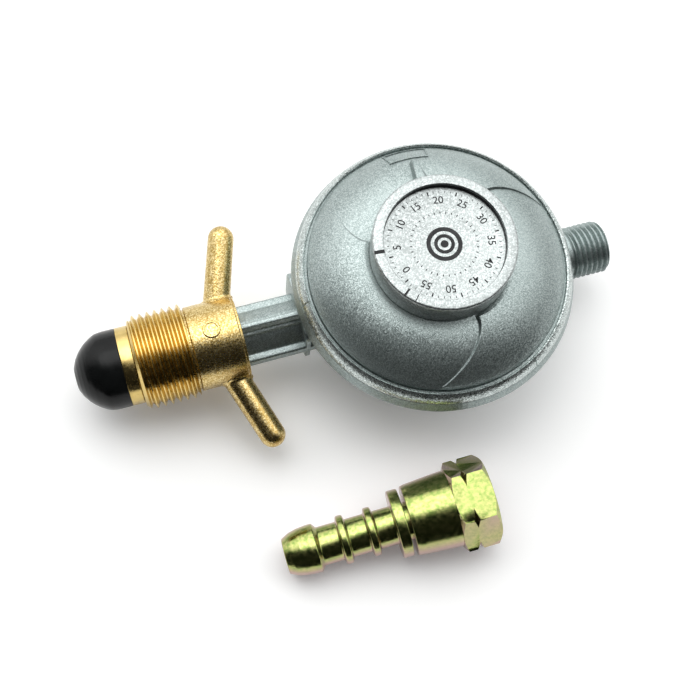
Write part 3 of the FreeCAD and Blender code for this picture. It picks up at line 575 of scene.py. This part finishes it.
def stemSection():
    # core with four ribs that end on one round envelope; the top and bottom ribs stand on a wider pedestal
    s = stemSizes
    outline = []

    def at(radius, degrees, *corner):
        return (radius * math.cos(math.radians(degrees)), radius * math.sin(math.radians(degrees)), *corner)

    def ribAngle(half, radius):
        return math.degrees(math.asin(half / radius))

    for middle in (180, 270, 0, 90):
        upDown = middle in (0, 180)
        half, pedestal = (s["topRib"], s["pedestalAngle"]) if upDown else (s["sideRib"], 0)
        rise = [at(s["panel"], pedestal + 6), at(s["panel"], pedestal + 2, 0.25), at(s["pedestal"], pedestal, 0.25),
                at(s["pedestal"], ribAngle(half * 1.25, s["pedestal"]) + 1, 0.5)]
        if not upDown:
            rise = [at(s["hollow"], ribAngle(half, s["hollow"]), 0.7)]
        flank = [at(s["panel"], 45)] + rise + [at(s["envelope"] - 0.1, ribAngle(half, s["envelope"]), 0.7)]
        across = Matrix.Rotation(math.radians(middle), 2)
        flip = Matrix(((1, 0), (0, -1)))
        outline += [(*(across @ flip @ Vector(p[:2])), *p[2:]) for p in flank]
        outline.append(at(s["envelope"], middle))
        outline += [(*(across @ Vector(p[:2])), *p[2:]) for p in flank[:0:-1]]
    return roundedOutline(outline, 3)


def rootPlate():
    s, reach = plateSizes, stemSizes["envelope"]
    points = [(-reach, -s["near"], s["round"]), (reach, -s["near"], s["round"]),
              (reach, s["far"], s["round"]), (-reach, s["far"], s["round"])]
    plate = finished("rootPlate", extruded(roundedOutline(points, 6), s["back"], s["front"]), castPaint)
    edgeBreak(plate, 0.25)
    return plate


def outletNipple():
    s = outletSizes
    root = s["crest"] - s["depth"]
    points = [(s["inner"], s["neck"]), (s["start"] - 1.0, s["neck"], 0.4), (s["start"] - 0.5, root, 0.2),
              (s["end"], root, 0.15), (s["end"], s["seat"], 0.1), (s["end"] - s["seatDepth"], s["bore"]),
              (s["inner"], s["bore"])]
    return lathe("outletNipple", points, castPaint)


def buildCasting():
    s = stemSizes
    body = castBowl()
    boolean(body, finished("stem", extruded(stemSection(), s["end"], s["inner"]), castPaint), "UNION")
    boolean(body, rootPlate(), "UNION")
    boolean(body, rimNicks(), "DIFFERENCE")
    bottom = s["end"] + s["holeDepth"]
    hole = [(s["end"] - 1, 0), (s["end"] - 1, s["hole"]), (bottom, s["hole"]), (bottom, 0)]
    boolean(body, lathe("hole", hole, castPaint, 64), "DIFFERENCE")
    smooth(body.data, sharpEdge)
    body.data.materials.clear()
    for material in (castPaint, rimHighlightPaint):
        body.data.materials.append(material)
    # the rolled rim above the crease gets a lighter, glossier copy of the casting paint, a painted highlight where it
    # faces the light
    beadFoot, beadInner = castSizes["creaseTop"] - 0.05, castSizes["lipInner"] - 0.05
    for face in body.data.polygons:
        face.material_index = int(face.center.z > beadFoot and face.center.xy.length > beadInner)
    thread = cutThread("outletThread", outletSizes["start"] - 0.4, outletSizes["end"], False, outletSizes, castPaint)
    settle(joined("bodyCastingFinished", [body, outletNipple(), thread]), "regulator_body", "body_casting")


buildCasting()

print("bonnet")

bonnetSizes = {
    "flangeRadius": 31.8, "flangeBottom": 27.3, "flangeTop": 29.2, "wallRadius": 30.35, "wallTop": 30.7,
    "domeTop": 37.6, "domeTopRadius": 17.3, "towerRadius": 14.8, "towerTop": 41.7, "bore": 11.5, "sleeveRadius": 13.4,
    "sleeveBottom": 34.0, "thickness": 2.0, "middleRise": 0.7, "middleInset": 5.7,
}
# the swept vanes: each line has its angle and its share of the full step
vaneSizes = {"lines": ((-79.0, 1.0), (41.5, 1.0), (155.0, 0.45)), "stepDeep": 0.95, "stepShallow": 0.36,
             "stepWidth": 0.7, "stepFrom": 16.6, "stepFullAfter": 0.7, "stepGoneBefore": 0.5, "sunk": 0.4,
             "fade": 60.0, "fadePower": 1.3, "sweep": -27.3, "curl": 1.35, "sweepFrom": 18.0}
# the pointer's pairs hold at its inner and at its outer end
pointerSizes = {"angle": 87.4, "radius": (16.8, 24.5), "left": (1.75, 0.8), "right": (2.9, 0.95), "top": (1.15, 0.6),
                "height": (2.5, 2.1), "sunk": 0.8}
panelSizes = {"inner": 26.1, "outer": 30.0, "from": 77.8, "to": 98.8, "line": 0.4, "height": 0.28, "sunk": 0.3,
              "taper": 0.06}


def domeHeight(radius):
    # height of the dome over the base, from the circle through its three defining points
    s = bonnetSizes
    points = domeRow(0.0, 60)
    for (z0, r0), (z1, r1) in zip(points, points[1:]):
        if r1 <= radius <= r0:
            return z0 + (z1 - z0) * (r0 - radius) / (r0 - r1)
    return s["domeTop"] if radius < s["domeTopRadius"] else s["wallTop"]


def domeRow(offset, count):
    # the dome's curve from its wall to its flat top; an offset gives its inside
    s = bonnetSizes
    middle = s["wallTop"] + (s["domeTop"] - s["wallTop"]) * s["middleRise"]
    return arcThrough((s["wallTop"] - offset * 0.4, s["wallRadius"] - offset),
                      (middle - offset * 0.7, s["wallRadius"] - s["middleInset"] - offset * 0.7),
                      (s["domeTop"] - offset, s["domeTopRadius"] - offset * 0.4), count)


def vaneTurn(radius):
    # how far a vane's edge has swung round at this radius, degrees
    s = vaneSizes
    return s["sweep"] * ramp(radius, s["sweepFrom"], bonnetSizes["wallRadius"] - 0.1) ** s["curl"]


def vaneRelief(along, radius, angle):
    # swings each column round with the vanes and lifts the surface just past each vane's edge
    s, dome = vaneSizes, bonnetSizes
    wall = dome["wallRadius"]
    # the flange, the tower and the inside stay as they are
    if along < dome["wallTop"] - 1.05 or radius < dome["towerRadius"] + 0.05 or along > dome["domeTop"] + 0.02:
        return 0.0, 0.0
    if radius < wall - 2.0 and along < domeHeight(radius) - 0.5:
        return 0.0, 0.0
    past, share = min((((math.degrees(angle) - line + 180) % 360 - 180, share) for line, share in s["lines"]),
                      key=lambda found: abs(found[0]))
    width = math.degrees(s["stepWidth"] / radius)
    step = ramp(past, -width / 2, width / 2)
    step = step * step * (3 - 2 * step)
    near = max(1 - abs(past) / s["fade"], 0.0) ** s["fadePower"]
    size = s["stepDeep"] + (s["stepShallow"] - s["stepDeep"]) * ramp(radius, dome["domeTopRadius"], wall)
    edge = (ramp(-radius, -wall, s["stepGoneBefore"] - wall)
            * ramp(radius, s["stepFrom"], s["stepFrom"] + s["stepFullAfter"]))
    return math.radians(vaneTurn(radius)), size * share * edge * near * (step - s["sunk"])


def bonnetShell():
    s = bonnetSizes
    inner = domeRow(s["thickness"], 24)
    inner.reverse()
    points = [(s["flangeBottom"], s["wallRadius"] - s["thickness"]), (s["flangeBottom"], s["flangeRadius"]),
              (s["flangeTop"], s["flangeRadius"]), (s["flangeTop"], s["wallRadius"]),
              (s["wallTop"] - 0.25, s["wallRadius"])]
    points += domeRow(0.0, 56)
    points += [(s["domeTop"], s["domeTopRadius"] - 0.6), (s["domeTop"], s["towerRadius"] + 0.6),
               (s["domeTop"], s["towerRadius"]),
               (s["towerTop"], s["towerRadius"]), (s["towerTop"], s["bore"]), (s["sleeveBottom"], s["bore"]),
               (s["sleeveBottom"], s["sleeveRadius"]), (s["domeTop"] - s["thickness"], s["sleeveRadius"])]
    points += inner
    # columns stand close within 2 degrees of a vane's edge, wider apart between the edges
    lines = [line for line, share in vaneSizes["lines"]]
    angles = []
    for line, after in zip(lines, lines[1:] + lines[:1]):
        gap = (after - line) % 360 - 4.0
        angles += [line + 0.25 * n for n in range(-8, 9)]
        angles += [line + 2.0 + gap * n / 76 for n in range(1, 76)]
    angles = [math.radians(a) for a in angles]
    shell = turned(points, place=upright, angles=angles, relief=vaneRelief)
    return finished("bonnetShell", shell, castPaint, softEdge)


def pointerWedge():
    # raised pointer with a flat top and a blunt tip; its flanks run down to the dome
    s = pointerSizes
    bm = bmesh.new()
    turn = turnAbout("Z", s["angle"] - 90)

    def at(across, radius, lift):
        return bm.verts.new(turn @ Vector((across, radius, domeHeight(math.hypot(across, radius)) + lift)))

    rows = []
    steps = 8
    for k in range(steps + 1):
        radius, left, right, top, rise = (inner + (outer - inner) * k / steps for inner, outer in
                                          (s["radius"], s["left"], s["right"], s["top"], s["height"]))
        rows.append([at(-left, radius, -s["sunk"]), at(-left, radius, 0.0), at(-top, radius, rise),
                     at(top, radius, rise), at(right, radius, 0.0), at(right, radius, -s["sunk"])])
    wedge = finished("pointerWedge", lofted(bm, rows), castPaint, 20)
    edgeBreak(wedge, 0.12, 15)
    return wedge


def panelFrame():
    # thin raised outline of a blank plate near the rim
    s = panelSizes
    bm = bmesh.new()

    def bar(inner, outer, start, stop, steps):
        edges = ((inner, -s["sunk"]), (outer, -s["sunk"]), (outer - s["taper"], s["height"]),
                 (inner + s["taper"], s["height"]))
        rows = []
        for k in range(steps + 1):
            a = math.radians(start + (stop - start) * k / steps)
            rows.append([bm.verts.new((r * math.cos(a), r * math.sin(a), domeHeight(r) + lift)) for r, lift in edges])
        lofted(bm, rows)

    side = math.degrees(s["line"] / s["outer"])
    bar(s["inner"], s["inner"] + s["line"], s["from"], s["to"], 16)
    bar(s["outer"] - s["line"], s["outer"], s["from"], s["to"], 16)
    parts = 6
    depth = (s["outer"] - s["inner"]) / parts
    for k in range(parts):
        low = s["inner"] + depth * k
        bar(low, low + depth, s["from"], s["from"] + side, 1)
        bar(low, low + depth, s["to"] - side, s["to"], 1)
    return finished("panelFrame", bm, castPaint, softEdge)


settle(joined("bonnetFinished", [bonnetShell(), pointerWedge(), panelFrame()]), "regulator_body", "bonnet")

print("label cap")

capSizes = {"radius": 16.45, "bottom": 37.9, "top": 45.3, "recess": 13.95, "floor": 43.4, "underside": 42.0,
            "skirtInner": 14.9, "round": 0.55}
# index marks: angle, width, inner and outer radius; the wide first mark is print, the two thin ones are painted shade
# in moulded notches
markSizes = {"thickness": 0.03, "bury": 0.005,
             "marks": ((175.5, 0.85, 13.975, 16.325), (-141.8, 0.5, 14.275, 16.325), (-132.2, 0.22, 14.275, 16.275))}
numberSizes = {"count": 12, "step": 5, "firstAngle": 200, "radius": 10.7, "size": 2.5, "bold": 0.02}
tickBands = {
    "fineTicks": {"Count": 60, "Radius": 12.75, "Length": 0.55, "Width": 0.14},
    "longTicks": {"Count": 12, "Radius": 12.55, "Length": 1.0, "Width": 0.3},
    "innerTicks": {"Count": 36, "Radius": 7.6, "Length": 0.5, "Width": 0.22},
}
hubSizes = {"bands": ((0.9, 0.0), (2.35, 1.55), (4.1, 3.1)), "bury": 0.01}
# the dark band on the recess wall is painted shade
recessShadeSizes = {"height": 1.15, "foot": 0.12, "top": 0.05, "bury": 0.01}


def capShell():
    s = capSizes
    points = [(s["bottom"], s["skirtInner"]), (s["bottom"], s["radius"], 0.3), (s["top"], s["radius"], s["round"]),
              (s["top"], s["recess"], 0.18), (s["floor"], s["recess"], 0.12), (s["floor"], 0), (s["underside"], 0),
              (s["underside"], s["skirtInner"])]
    return lathe("capShell", points, capSilver, 192, upright)


def indexMarks():
    # dark index lines across the cap's ring: the wide one is print, the two thin ones are painted shade where the ring
    # has moulded notches
    s = markSizes
    bm = bmesh.new()
    height = capSizes["top"] + s["thickness"] / 2 - s["bury"]
    for degrees, width, inner, outer in s["marks"]:
        turn = turnAbout("Z", degrees)
        size = Matrix.Diagonal((outer - inner, width, s["thickness"], 1))
        middle = Matrix.Translation(((outer + inner) / 2, 0, height))
        bmesh.ops.create_cube(bm, size=1.0, matrix=turn @ middle @ size)
    return finished("indexMarks", bm, inkAndNotchShade)


def numberMesh(text, degrees):
    # one number, its top turned outwards
    s = numberSizes
    curve = bpy.data.curves.new("number" + text, "FONT")
    curve.body = text
    curve.size = s["size"]
    curve.align_x = curve.align_y = "CENTER"
    curve.extrude = markSizes["thickness"] / 2
    curve.offset = s["bold"]
    holder = placed("number" + text, curve)
    mesh = evaluated(holder)
    place = turnAbout("Z", degrees) @ Matrix.Translation((s["radius"], 0, 0))
    mesh.transform(place @ turnAbout("Z", -90))
    bpy.data.objects.remove(holder)
    return mesh


def dialNumbers():
    s = numberSizes
    bm = bmesh.new()
    for k in range(s["count"]):
        bm.from_mesh(numberMesh(str(k * s["step"]), s["firstAngle"] - 360 * k / s["count"]))
    bmesh.ops.translate(bm, verts=bm.verts, vec=(0, 0, capSizes["floor"] + markSizes["thickness"] / 2))
    return finished("dialNumbers", bm, inkAndNotchShade, 60)


def hubRings():
    bm = bmesh.new()
    low, high = capSizes["floor"] - hubSizes["bury"], capSizes["floor"] + markSizes["thickness"]
    for outer, inner in hubSizes["bands"]:
        band = turned([(low, inner), (low, outer), (high, outer), (high, inner)], 72, upright)
        bm.from_mesh(meshFrom("band", band))
    return finished("hubRings", bm, inkAndNotchShade)


def recessShadeBand():
    # painted shade: a dark band round the foot of the recess wall, where the recess lies in shade
    s = recessShadeSizes
    outer, floor = capSizes["recess"] + s["bury"], capSizes["floor"]
    points = [(floor - s["bury"], outer - s["foot"]), (floor - s["bury"], outer), (floor + s["height"], outer),
              (floor + s["height"], outer - s["top"])]
    return lathe("recessShadeBand", points, blackPlasticAndRecessShade, 144, upright)


def tickBand(name, values):
    thickness = markSizes["thickness"]
    lift = Matrix.Translation((0, 0, capSizes["floor"] + thickness / 2 - markSizes["bury"]))
    return grown(name, tickRing, {**values, "Thickness": thickness}, lift, inkAndNotchShade)


def buildCap():
    # print and painted shade on the cap: index marks, numbers, hub rings, the recess's dark band and ticks
    marksAndShade = [indexMarks(), dialNumbers(), hubRings(), recessShadeBand()]
    marksAndShade += [tickBand(name, values) for name, values in tickBands.items()]
    dialMarksAndShade = joined("dialPrintAndShade", marksAndShade)
    dialMarksAndShade.data.transform(Matrix.Scale(mm, 4))
    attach(dialMarksAndShade, "cap")
    settle(capShell(), "cap", "label_cap")


buildCap()

print("inlet nut")

nutSizes = {"front": -73.1, "threadEnd": -60.0, "grooveEnd": -59.45, "back": -47.4, "crest": 11.4555, "depth": 1.162,
            "pitch": 1.814, "lead": 0.35, "groove": 9.8, "barrel": 10.3, "edge": 10.0, "bore": 8.0}
wingSizes = {"x": -54.3, "sweep": 18.35, "roll": 11.0, "reach": 25.9, "tip": 3.14, "root": 3.3, "fillet": 0.6,
             "foot": 1.8, "rows": 40, "crowding": 1.6, "tipRows": 16}
bossSizes = {"radius": 2.15, "height": 0.32, "angle": 2.0, "foot": 1.5, "rim": 0.55, "dish": 0.12, "middle": 0.05}


def nutBarrel():
    s = nutSizes
    points = [(s["threadEnd"], s["bore"]), (s["threadEnd"], s["groove"]), (s["grooveEnd"], s["groove"], 0.15),
              (s["grooveEnd"], s["barrel"], 0.25), (s["back"] - 0.75, s["barrel"], 0.1),
              (s["back"] - 0.55, s["edge"], 0.1), (s["back"], s["edge"], 0.2), (s["back"], s["bore"], 0.3)]
    return lathe("nutBarrel", points, blastedBrass)


def wingRod(side):
    # tapered rod with a round end; its foot flares where it meets the barrel
    s = wingSizes
    sweep, roll = math.radians(s["sweep"]), math.radians(s["roll"])
    sideways = side * math.cos(sweep)
    direction = Vector((math.sin(sweep), sideways * math.cos(roll), sideways * math.sin(roll)))
    start = Vector((s["x"], 0, stemHeight))
    place = Matrix.Translation(start) @ direction.to_track_quat("Z", "X").to_matrix().to_4x4()
    rows = []
    first = nutSizes["barrel"] - s["foot"]
    for k in range(s["rows"] + 1):
        # rows crowd together towards the foot
        along = first + (s["reach"] - first) * (k / s["rows"]) ** s["crowding"]
        share = along / s["reach"]
        rows.append((along, s["root"] + (s["tip"] - s["root"]) * share))
    for k in range(1, s["tipRows"] + 1):
        a = math.pi / 2 * k / s["tipRows"]
        rows.append((s["reach"] + s["tip"] * math.sin(a), max(s["tip"] * math.cos(a), 0.0)))
    bm = turned([(first, 0.0)] + rows, 64, place)
    for vertex in bm.verts:
        foot = vertex.co - start
        over = Vector((0, foot.y, foot.z)).length - nutSizes["barrel"]
        if over < s["fillet"]:
            inside = s["fillet"] - max(over, 0.0)
            flare = s["fillet"] - math.sqrt(max(s["fillet"] ** 2 - inside ** 2, 0.0))
            along = direction * foot.dot(direction)
            across = foot - along
            if across.length > 0.1:
                vertex.co = start + along + across * (1 + flare / across.length)
    return finished("wingRod", bm, blastedBrass, 60)


def castBoss():
    s = bossSizes
    up = Matrix.Translation((wingSizes["x"], 0, stemHeight)) @ turnAbout("X", -s["angle"])
    top = nutSizes["barrel"] + s["height"]
    foot, inner = top - s["foot"], s["radius"] - s["rim"]
    points = [(foot, 0), (foot, s["radius"]), (top, s["radius"], 0.25), (top, inner, 0.15),
              (top - s["dish"], inner - 0.15, 0.1), (top - s["middle"], 0)]
    return lathe("castBoss", points, blastedBrass, 48, up)


def nutThreadCore():
    s = nutSizes
    root = s["crest"] - s["depth"]
    points = [(s["front"], s["bore"], 0.2), (s["front"], root - 0.1, 0.2), (s["front"] + 0.3, root),
              (s["threadEnd"] - 0.01, root), (s["threadEnd"], s["bore"])]
    return lathe("nutThreadCore", points, machinedBrass)


def buildNut():
    s = nutSizes
    barrel = nutBarrel()
    for tool in (wingRod(1), wingRod(-1), castBoss()):
        boolean(barrel, tool, "UNION")
    clear = [(s["front"] - 1, 0), (s["front"] - 1, s["bore"]), (s["back"] + 1, s["bore"]), (s["back"] + 1, 0)]
    boolean(barrel, lathe("clear", clear, blastedBrass), "DIFFERENCE")
    smooth(barrel.data, bevelledEdge)
    thread = cutThread("nutThread", s["front"], s["threadEnd"], True, s, machinedBrass)
    settle(joined("wingNutFinished", [barrel, nutThreadCore(), thread]), "inlet_nut", "wing_nut")


buildNut()

print("spigot and nose")

spigotSizes = {"stub": -82.0, "stubRadius": 4.6, "front": -76.2, "collar": 9.5, "collarBack": -73.2, "guide": 7.92,
               "shoulder": -50.0, "tail": 4.2, "end": -38.0, "bore": 1.8, "filter": 3.03, "filterEnd": -78.2}
noseSizes = {"back": -76.2, "radius": 9.5, "length": 11.3, "port": 2.4, "stubRadius": 4.63, "stubLength": 5.83,
             "curve": ((0.3, 1.0, 6.0), (0.44, 0.98, 8.0), (0.54, 0.925, 8.0), (0.66, 0.835, 8.0), (0.76, 0.735, 6.0),
                       (0.85, 0.62, 4.0), (0.93, 0.48, 2.5), (1.0, 0.3, 0.6))}


def buildSpigot():
    s = spigotSizes
    points = [(s["stub"], s["filter"]), (s["stub"], s["stubRadius"]), (s["front"], s["stubRadius"]),
              (s["front"], s["collar"], 0.15), (s["collarBack"], s["collar"], 0.25), (s["collarBack"], s["guide"]),
              (s["shoulder"], s["guide"], 0.3), (s["shoulder"], s["tail"]), (s["end"], s["tail"], 0.4),
              (s["end"], s["bore"]), (s["filterEnd"], s["bore"]), (s["filterEnd"], s["filter"])]
    settle(lathe("inletSpigotTurned", points, machinedBrass), "regulator_body", "inlet_spigot")


def buildNose():
    s = noseSizes
    points = [(s["back"], s["stubRadius"]), (s["back"], s["radius"], 0.2)]
    points += [(s["back"] - s["length"] * along, s["radius"] * wide, corner) for along, wide, corner in s["curve"]]
    points += [(s["back"] - s["length"], s["port"]), (s["back"] - s["stubLength"], s["port"]),
               (s["back"] - s["stubLength"], s["stubRadius"])]
    settle(lathe("noseSealMoulded", points, blackRubber, steps=5), "regulator_body", "nose_seal")


buildSpigot()
buildNose()

print("hose fitting")

swivelJoint = next(j for j in frame["joints"] if j["name"] == "swivel_spin")
fittingAxis = Vector(swivelJoint["axis"])
fittingTilt = math.asin(fittingAxis.z)
fittingPlace = (Matrix.Translation(Vector(swivelJoint["pos_m"]) / mm)
                @ Matrix.Rotation(math.atan2(fittingAxis.y, fittingAxis.x), 4, "Z")
                @ Matrix.Rotation(math.radians(90) - fittingTilt, 4, "Y"))
# the cone's points: distance from the tip, radius, rounding
tailSizes = {"tip": -45.7, "tipRadius": 4.15, "cone": ((1.9, 5.1, 3.0), (3.9, 5.58, 2.0)), "barb": 5.8, "land": -39.3,
             "landEnd": -38.0, "tube": 4.6, "rings": (-31.3, -24.55), "ring": 5.85, "ringLength": 1.6,
             "ringFoot": 0.35, "collar": -19.0, "collarEnd": -16.4, "collarRadius": 8.15, "front": -5.5, "bore": 2.6,
             "clip": -7.0, "clipDepth": 0.4, "clipWire": 0.5}
nutHexSizes = {"back": -4.6, "front": 4.8, "flats": 19.0, "backChamfer": 0.9, "frontChamfer": 1.3, "grooveAt": -0.9,
               "grooveWidth": 2.1, "grooveDepth": 1.15, "skirtBack": -15.5, "skirtBackRadius": 8.35,
               "skirtFrontRadius": 9.2, "bore": 5.9, "relief": 6.5, "reliefEnd": -3.8, "shoulder": -7.55, "hole": 4.68,
               "skirtCurve": ((0.09, 0.24, 1.5), (0.37, 0.52, 5.0), (0.706, 0.84, 5.0), (0.945, 1.0, 1.0))}


def buildTail():
    s = tailSizes
    tube, half, foot = s["tube"], s["ringLength"] / 2, s["ringFoot"]
    points = [(s["tip"], s["bore"], 0.3), (s["tip"], s["tipRadius"], 0.4)]
    points += [(s["tip"] + along, radius, corner) for along, radius, corner in s["cone"]]
    points += [(s["land"], s["barb"], 0.4), (s["landEnd"], s["barb"], 0.35), (s["landEnd"] + 0.9, tube, 0.4)]
    for middle in s["rings"]:
        points += [(middle - half - foot, tube, 0.25), (middle - half, s["ring"], 0.5),
                   (middle + half, s["ring"], 0.5), (middle + half + foot, tube, 0.25)]
    points += [(s["collar"], tube, 0.3), (s["collar"], s["collarRadius"], 0.4),
               (s["collarEnd"], s["collarRadius"], 0.25), (s["collarEnd"], tube)]
    back, front, floor = s["clip"] - s["clipWire"], s["clip"] + s["clipWire"], tube - s["clipDepth"]
    points += [(back, tube), (back, floor), (front, floor), (front, tube), (s["front"], tube, 0.2),
               (s["front"], s["bore"], 0.2)]
    settle(lathe("hoseTailTurned", points, passivatedZinc, 112, fittingPlace), "fitting", "hose_tail")


def buildSwivelNut():
    s = nutHexSizes
    corner = s["flats"] / math.sqrt(3)
    crown = s["flats"] / 2
    turns = [math.radians(30 + 60 * k) for k in range(6)]
    hexagon = [(corner * math.cos(turn), corner * math.sin(turn)) for turn in turns]

    def tool(name, outline, segments=144):
        return finished(name, turned(outline, segments, fittingPlace), passivatedZinc)

    nut = finished("swivelNutFinished", extruded(hexagon, s["back"], s["front"], fittingPlace), passivatedZinc)
    limit = [(s["back"], 0), (s["back"], crown, 0.1), (s["back"] + s["backChamfer"], corner + 0.1, 0.2),
             (s["front"] - s["frontChamfer"], corner + 0.1, 0.2), (s["front"], crown - 0.15, 0.1), (s["front"], 0)]
    boolean(nut, tool("limit", roundedOutline(limit)), "INTERSECT")
    half, past = s["grooveWidth"] / 2, corner + 0.4
    notch = [(s["grooveAt"] - half, past), (s["grooveAt"], corner - s["grooveDepth"]), (s["grooveAt"] + half, past)]
    boolean(nut, tool("notch", notch), "DIFFERENCE")
    edgeBreak(nut, 0.14)
    flare = s["skirtFrontRadius"] - s["skirtBackRadius"]
    skirt = [(s["skirtBack"], 0), (s["skirtBack"], s["skirtBackRadius"], 0.25)]
    skirt += [(s["skirtBack"] + (s["back"] - s["skirtBack"]) * along, s["skirtBackRadius"] + flare * wide, corner)
              for along, wide, corner in s["skirtCurve"]]
    skirt += [(s["back"] + 0.3, s["skirtFrontRadius"]), (s["back"] + 0.3, 0)]
    boolean(nut, tool("skirt", roundedOutline(skirt)), "UNION")
    inside = [(s["skirtBack"] - 1, 0), (s["skirtBack"] - 1, s["hole"]), (s["shoulder"], s["hole"]),
              (s["shoulder"], s["relief"]), (s["reliefEnd"], s["relief"]), (s["reliefEnd"], s["bore"]),
              (s["front"] - 0.8, s["bore"]), (s["front"], s["bore"] + 0.8), (s["front"] + 1, s["bore"] + 1.8),
              (s["front"] + 1, 0)]
    boolean(nut, tool("inside", inside, 96), "DIFFERENCE")
    flatFaces(nut, softEdge)
    settle(nut, "fitting_nut", "swivel_nut")


buildTail()
buildSwivelNut()

print("inner pieces")

innerFinishes = (
    (springSteel, ("spring_seat", "main_spring", "diaphragm_plate", "relief_spring", "lever", "lever_pin",
                   "lever_bracket", "bracket_screws", "retaining_ring")),
    (machinedBrass, ("hook_stem", "relief_retainer", "valve_slider", "inlet_nozzle")),
    (blackRubber, ("diaphragm", "valve_pad", "spigot_seal", "sealing_washer")),
    (blackPlasticAndRecessShade, ("adjuster_screw",)),
    (blastedBrass, ("inlet_filter",)),
)
for finish, nodeNames in innerFinishes:
    for nodeName in nodeNames:
        mesh = frame["nodes"][nodeName].data
        mesh.materials.clear()
        mesh.materials.append(finish)

print("stage, lights and camera")

stageSizes = {"half": 1.6, "front": 0.14, "cameraWhite": 0.13, "floorColour": (0.97, 0.975, 0.97)}
lamps = {
    "key": {"towards": (-0.15, 0.32, 0.93), "distance": 0.9, "size": 0.65, "power": 1.25, "colour": (1.0, 1.0, 1.0)},
    "back": {"towards": (0.35, 0.85, 0.4), "distance": 0.9, "size": 0.5, "power": 0.4, "colour": (0.98, 0.99, 1.0)},
}
roomLook = {"across": (0.4, 0.92, 0.0), "dark": 0.02, "bright": 2.25, "darkAt": -0.31, "brightAt": 0.3,
            "above": (-0.2, 0.0, 0.98), "dimAt": -0.1, "fullAt": 0.85, "dim": 0.35, "full": 1.0, "camera": 1.0}
cameraSizes = {"azimuth": -27.75, "elevation": 71.17, "roll": 12.0, "distance": 299.17,
               "target": (-20.58, -0.80, 1.0), "lens": 60.24, "shiftX": 0.0073, "shiftY": -0.0291}


def floorMaterial():
    # pale floor that the camera and reflections see as white, with its shadows kept
    f = Finish("paleFloor")
    values = {"Base Color": (*stageSizes["floorColour"], 1), "Roughness": 0.9, "Specular IOR Level": 0.0,
              "Emission Color": (1, 1, 1, 1)}
    for label, value in values.items():
        f.shader.inputs[label].default_value = value
    rays = f.node("ShaderNodeLightPath").outputs
    seen = f.node("ShaderNodeMath", {0: rays["Is Camera Ray"], 1: rays["Is Glossy Ray"]}, operation="MAXIMUM")
    glow = f.node("ShaderNodeMath", {0: seen, 1: stageSizes["cameraWhite"]}, operation="MULTIPLY")
    f.drive("Emission Strength", glow)
    return f.material


def buildStage():
    half = stageSizes["half"]
    mesh = bpy.data.meshes.new("floor")
    front = stageSizes["front"]  # short in front, so that little light comes back from there
    mesh.from_pydata([(-half, -front, 0), (half, -front, 0), (half, half, 0), (-half, half, 0)], [], [(0, 1, 2, 3)])
    mesh.materials.append(floorMaterial())
    floor = placed("floor", mesh)


def buildWorld():
    # soft room light: bright overhead and behind the object, dark in front of it; plain white to the camera
    s = roomLook
    world = bpy.data.worlds.new("world")
    bpy.context.scene.world = world
    world.use_nodes = True
    tree = world.node_tree
    ray = nodeIn(tree, "ShaderNodeTexCoord").outputs["Object"]

    def shade(direction, start, end, low, high):
        facing = nodeIn(tree, "ShaderNodeVectorMath", {0: ray, 1: direction}, operation="DOT_PRODUCT")
        inputs = {"Value": facing.outputs["Value"], "From Min": start, "From Max": end, "To Min": low, "To Max": high}
        return nodeIn(tree, "ShaderNodeMapRange", inputs, interpolation_type="SMOOTHSTEP")

    across = shade(s["across"], s["darkAt"], s["brightAt"], s["dark"], s["bright"])
    above = shade(s["above"], s["dimAt"], s["fullAt"], s["dim"], s["full"])
    room = nodeIn(tree, "ShaderNodeMath", {0: across, 1: above}, operation="MULTIPLY")
    toCamera = nodeIn(tree, "ShaderNodeLightPath").outputs["Is Camera Ray"]
    strength = nodeIn(tree, "ShaderNodeMix", {"Factor": toCamera, "A": room, "B": s["camera"]})
    background = tree.nodes["Background"]
    background.inputs["Color"].default_value = (1, 1, 1, 1)
    tree.links.new(outlet(strength), background.inputs["Strength"])


def buildLamps():
    for name, lamp in lamps.items():
        light = bpy.data.lights.new(name, "AREA")
        light.shape = "DISK"
        light.size = lamp["size"]
        light.energy = lamp["power"]
        light.color = lamp["colour"]
        direction = Vector(lamp["towards"]).normalized()
        place = Matrix.Translation(direction * lamp["distance"])
        placed(name, light).matrix_world = place @ direction.to_track_quat("Z", "Y").to_matrix().to_4x4()


def buildCamera():
    s = cameraSizes
    a, e, roll = (math.radians(s[key]) for key in ("azimuth", "elevation", "roll"))
    back = Vector((math.sin(a) * math.cos(e), -math.cos(a) * math.cos(e), math.sin(e)))
    right = Vector((math.cos(a), math.sin(a), 0))
    up = back.cross(right)
    across = right * math.cos(roll) + up * math.sin(roll)
    above = up * math.cos(roll) - right * math.sin(roll)
    lens = bpy.data.cameras.new("camera")
    lens.lens = s["lens"]
    lens.sensor_width = 36
    lens.shift_x = s["shiftX"]
    lens.shift_y = s["shiftY"]
    lens.clip_start = 0.01
    camera = placed("camera", lens)
    place = (Vector(s["target"]) + back * s["distance"]) * mm
    camera.matrix_world = Matrix.Translation(place) @ Matrix((across, above, back)).transposed().to_4x4()
    bpy.context.scene.camera = camera


buildStage()
buildWorld()
buildLamps()
buildCamera()
bpy.context.scene.view_settings.view_transform = "Standard"

print("finish")
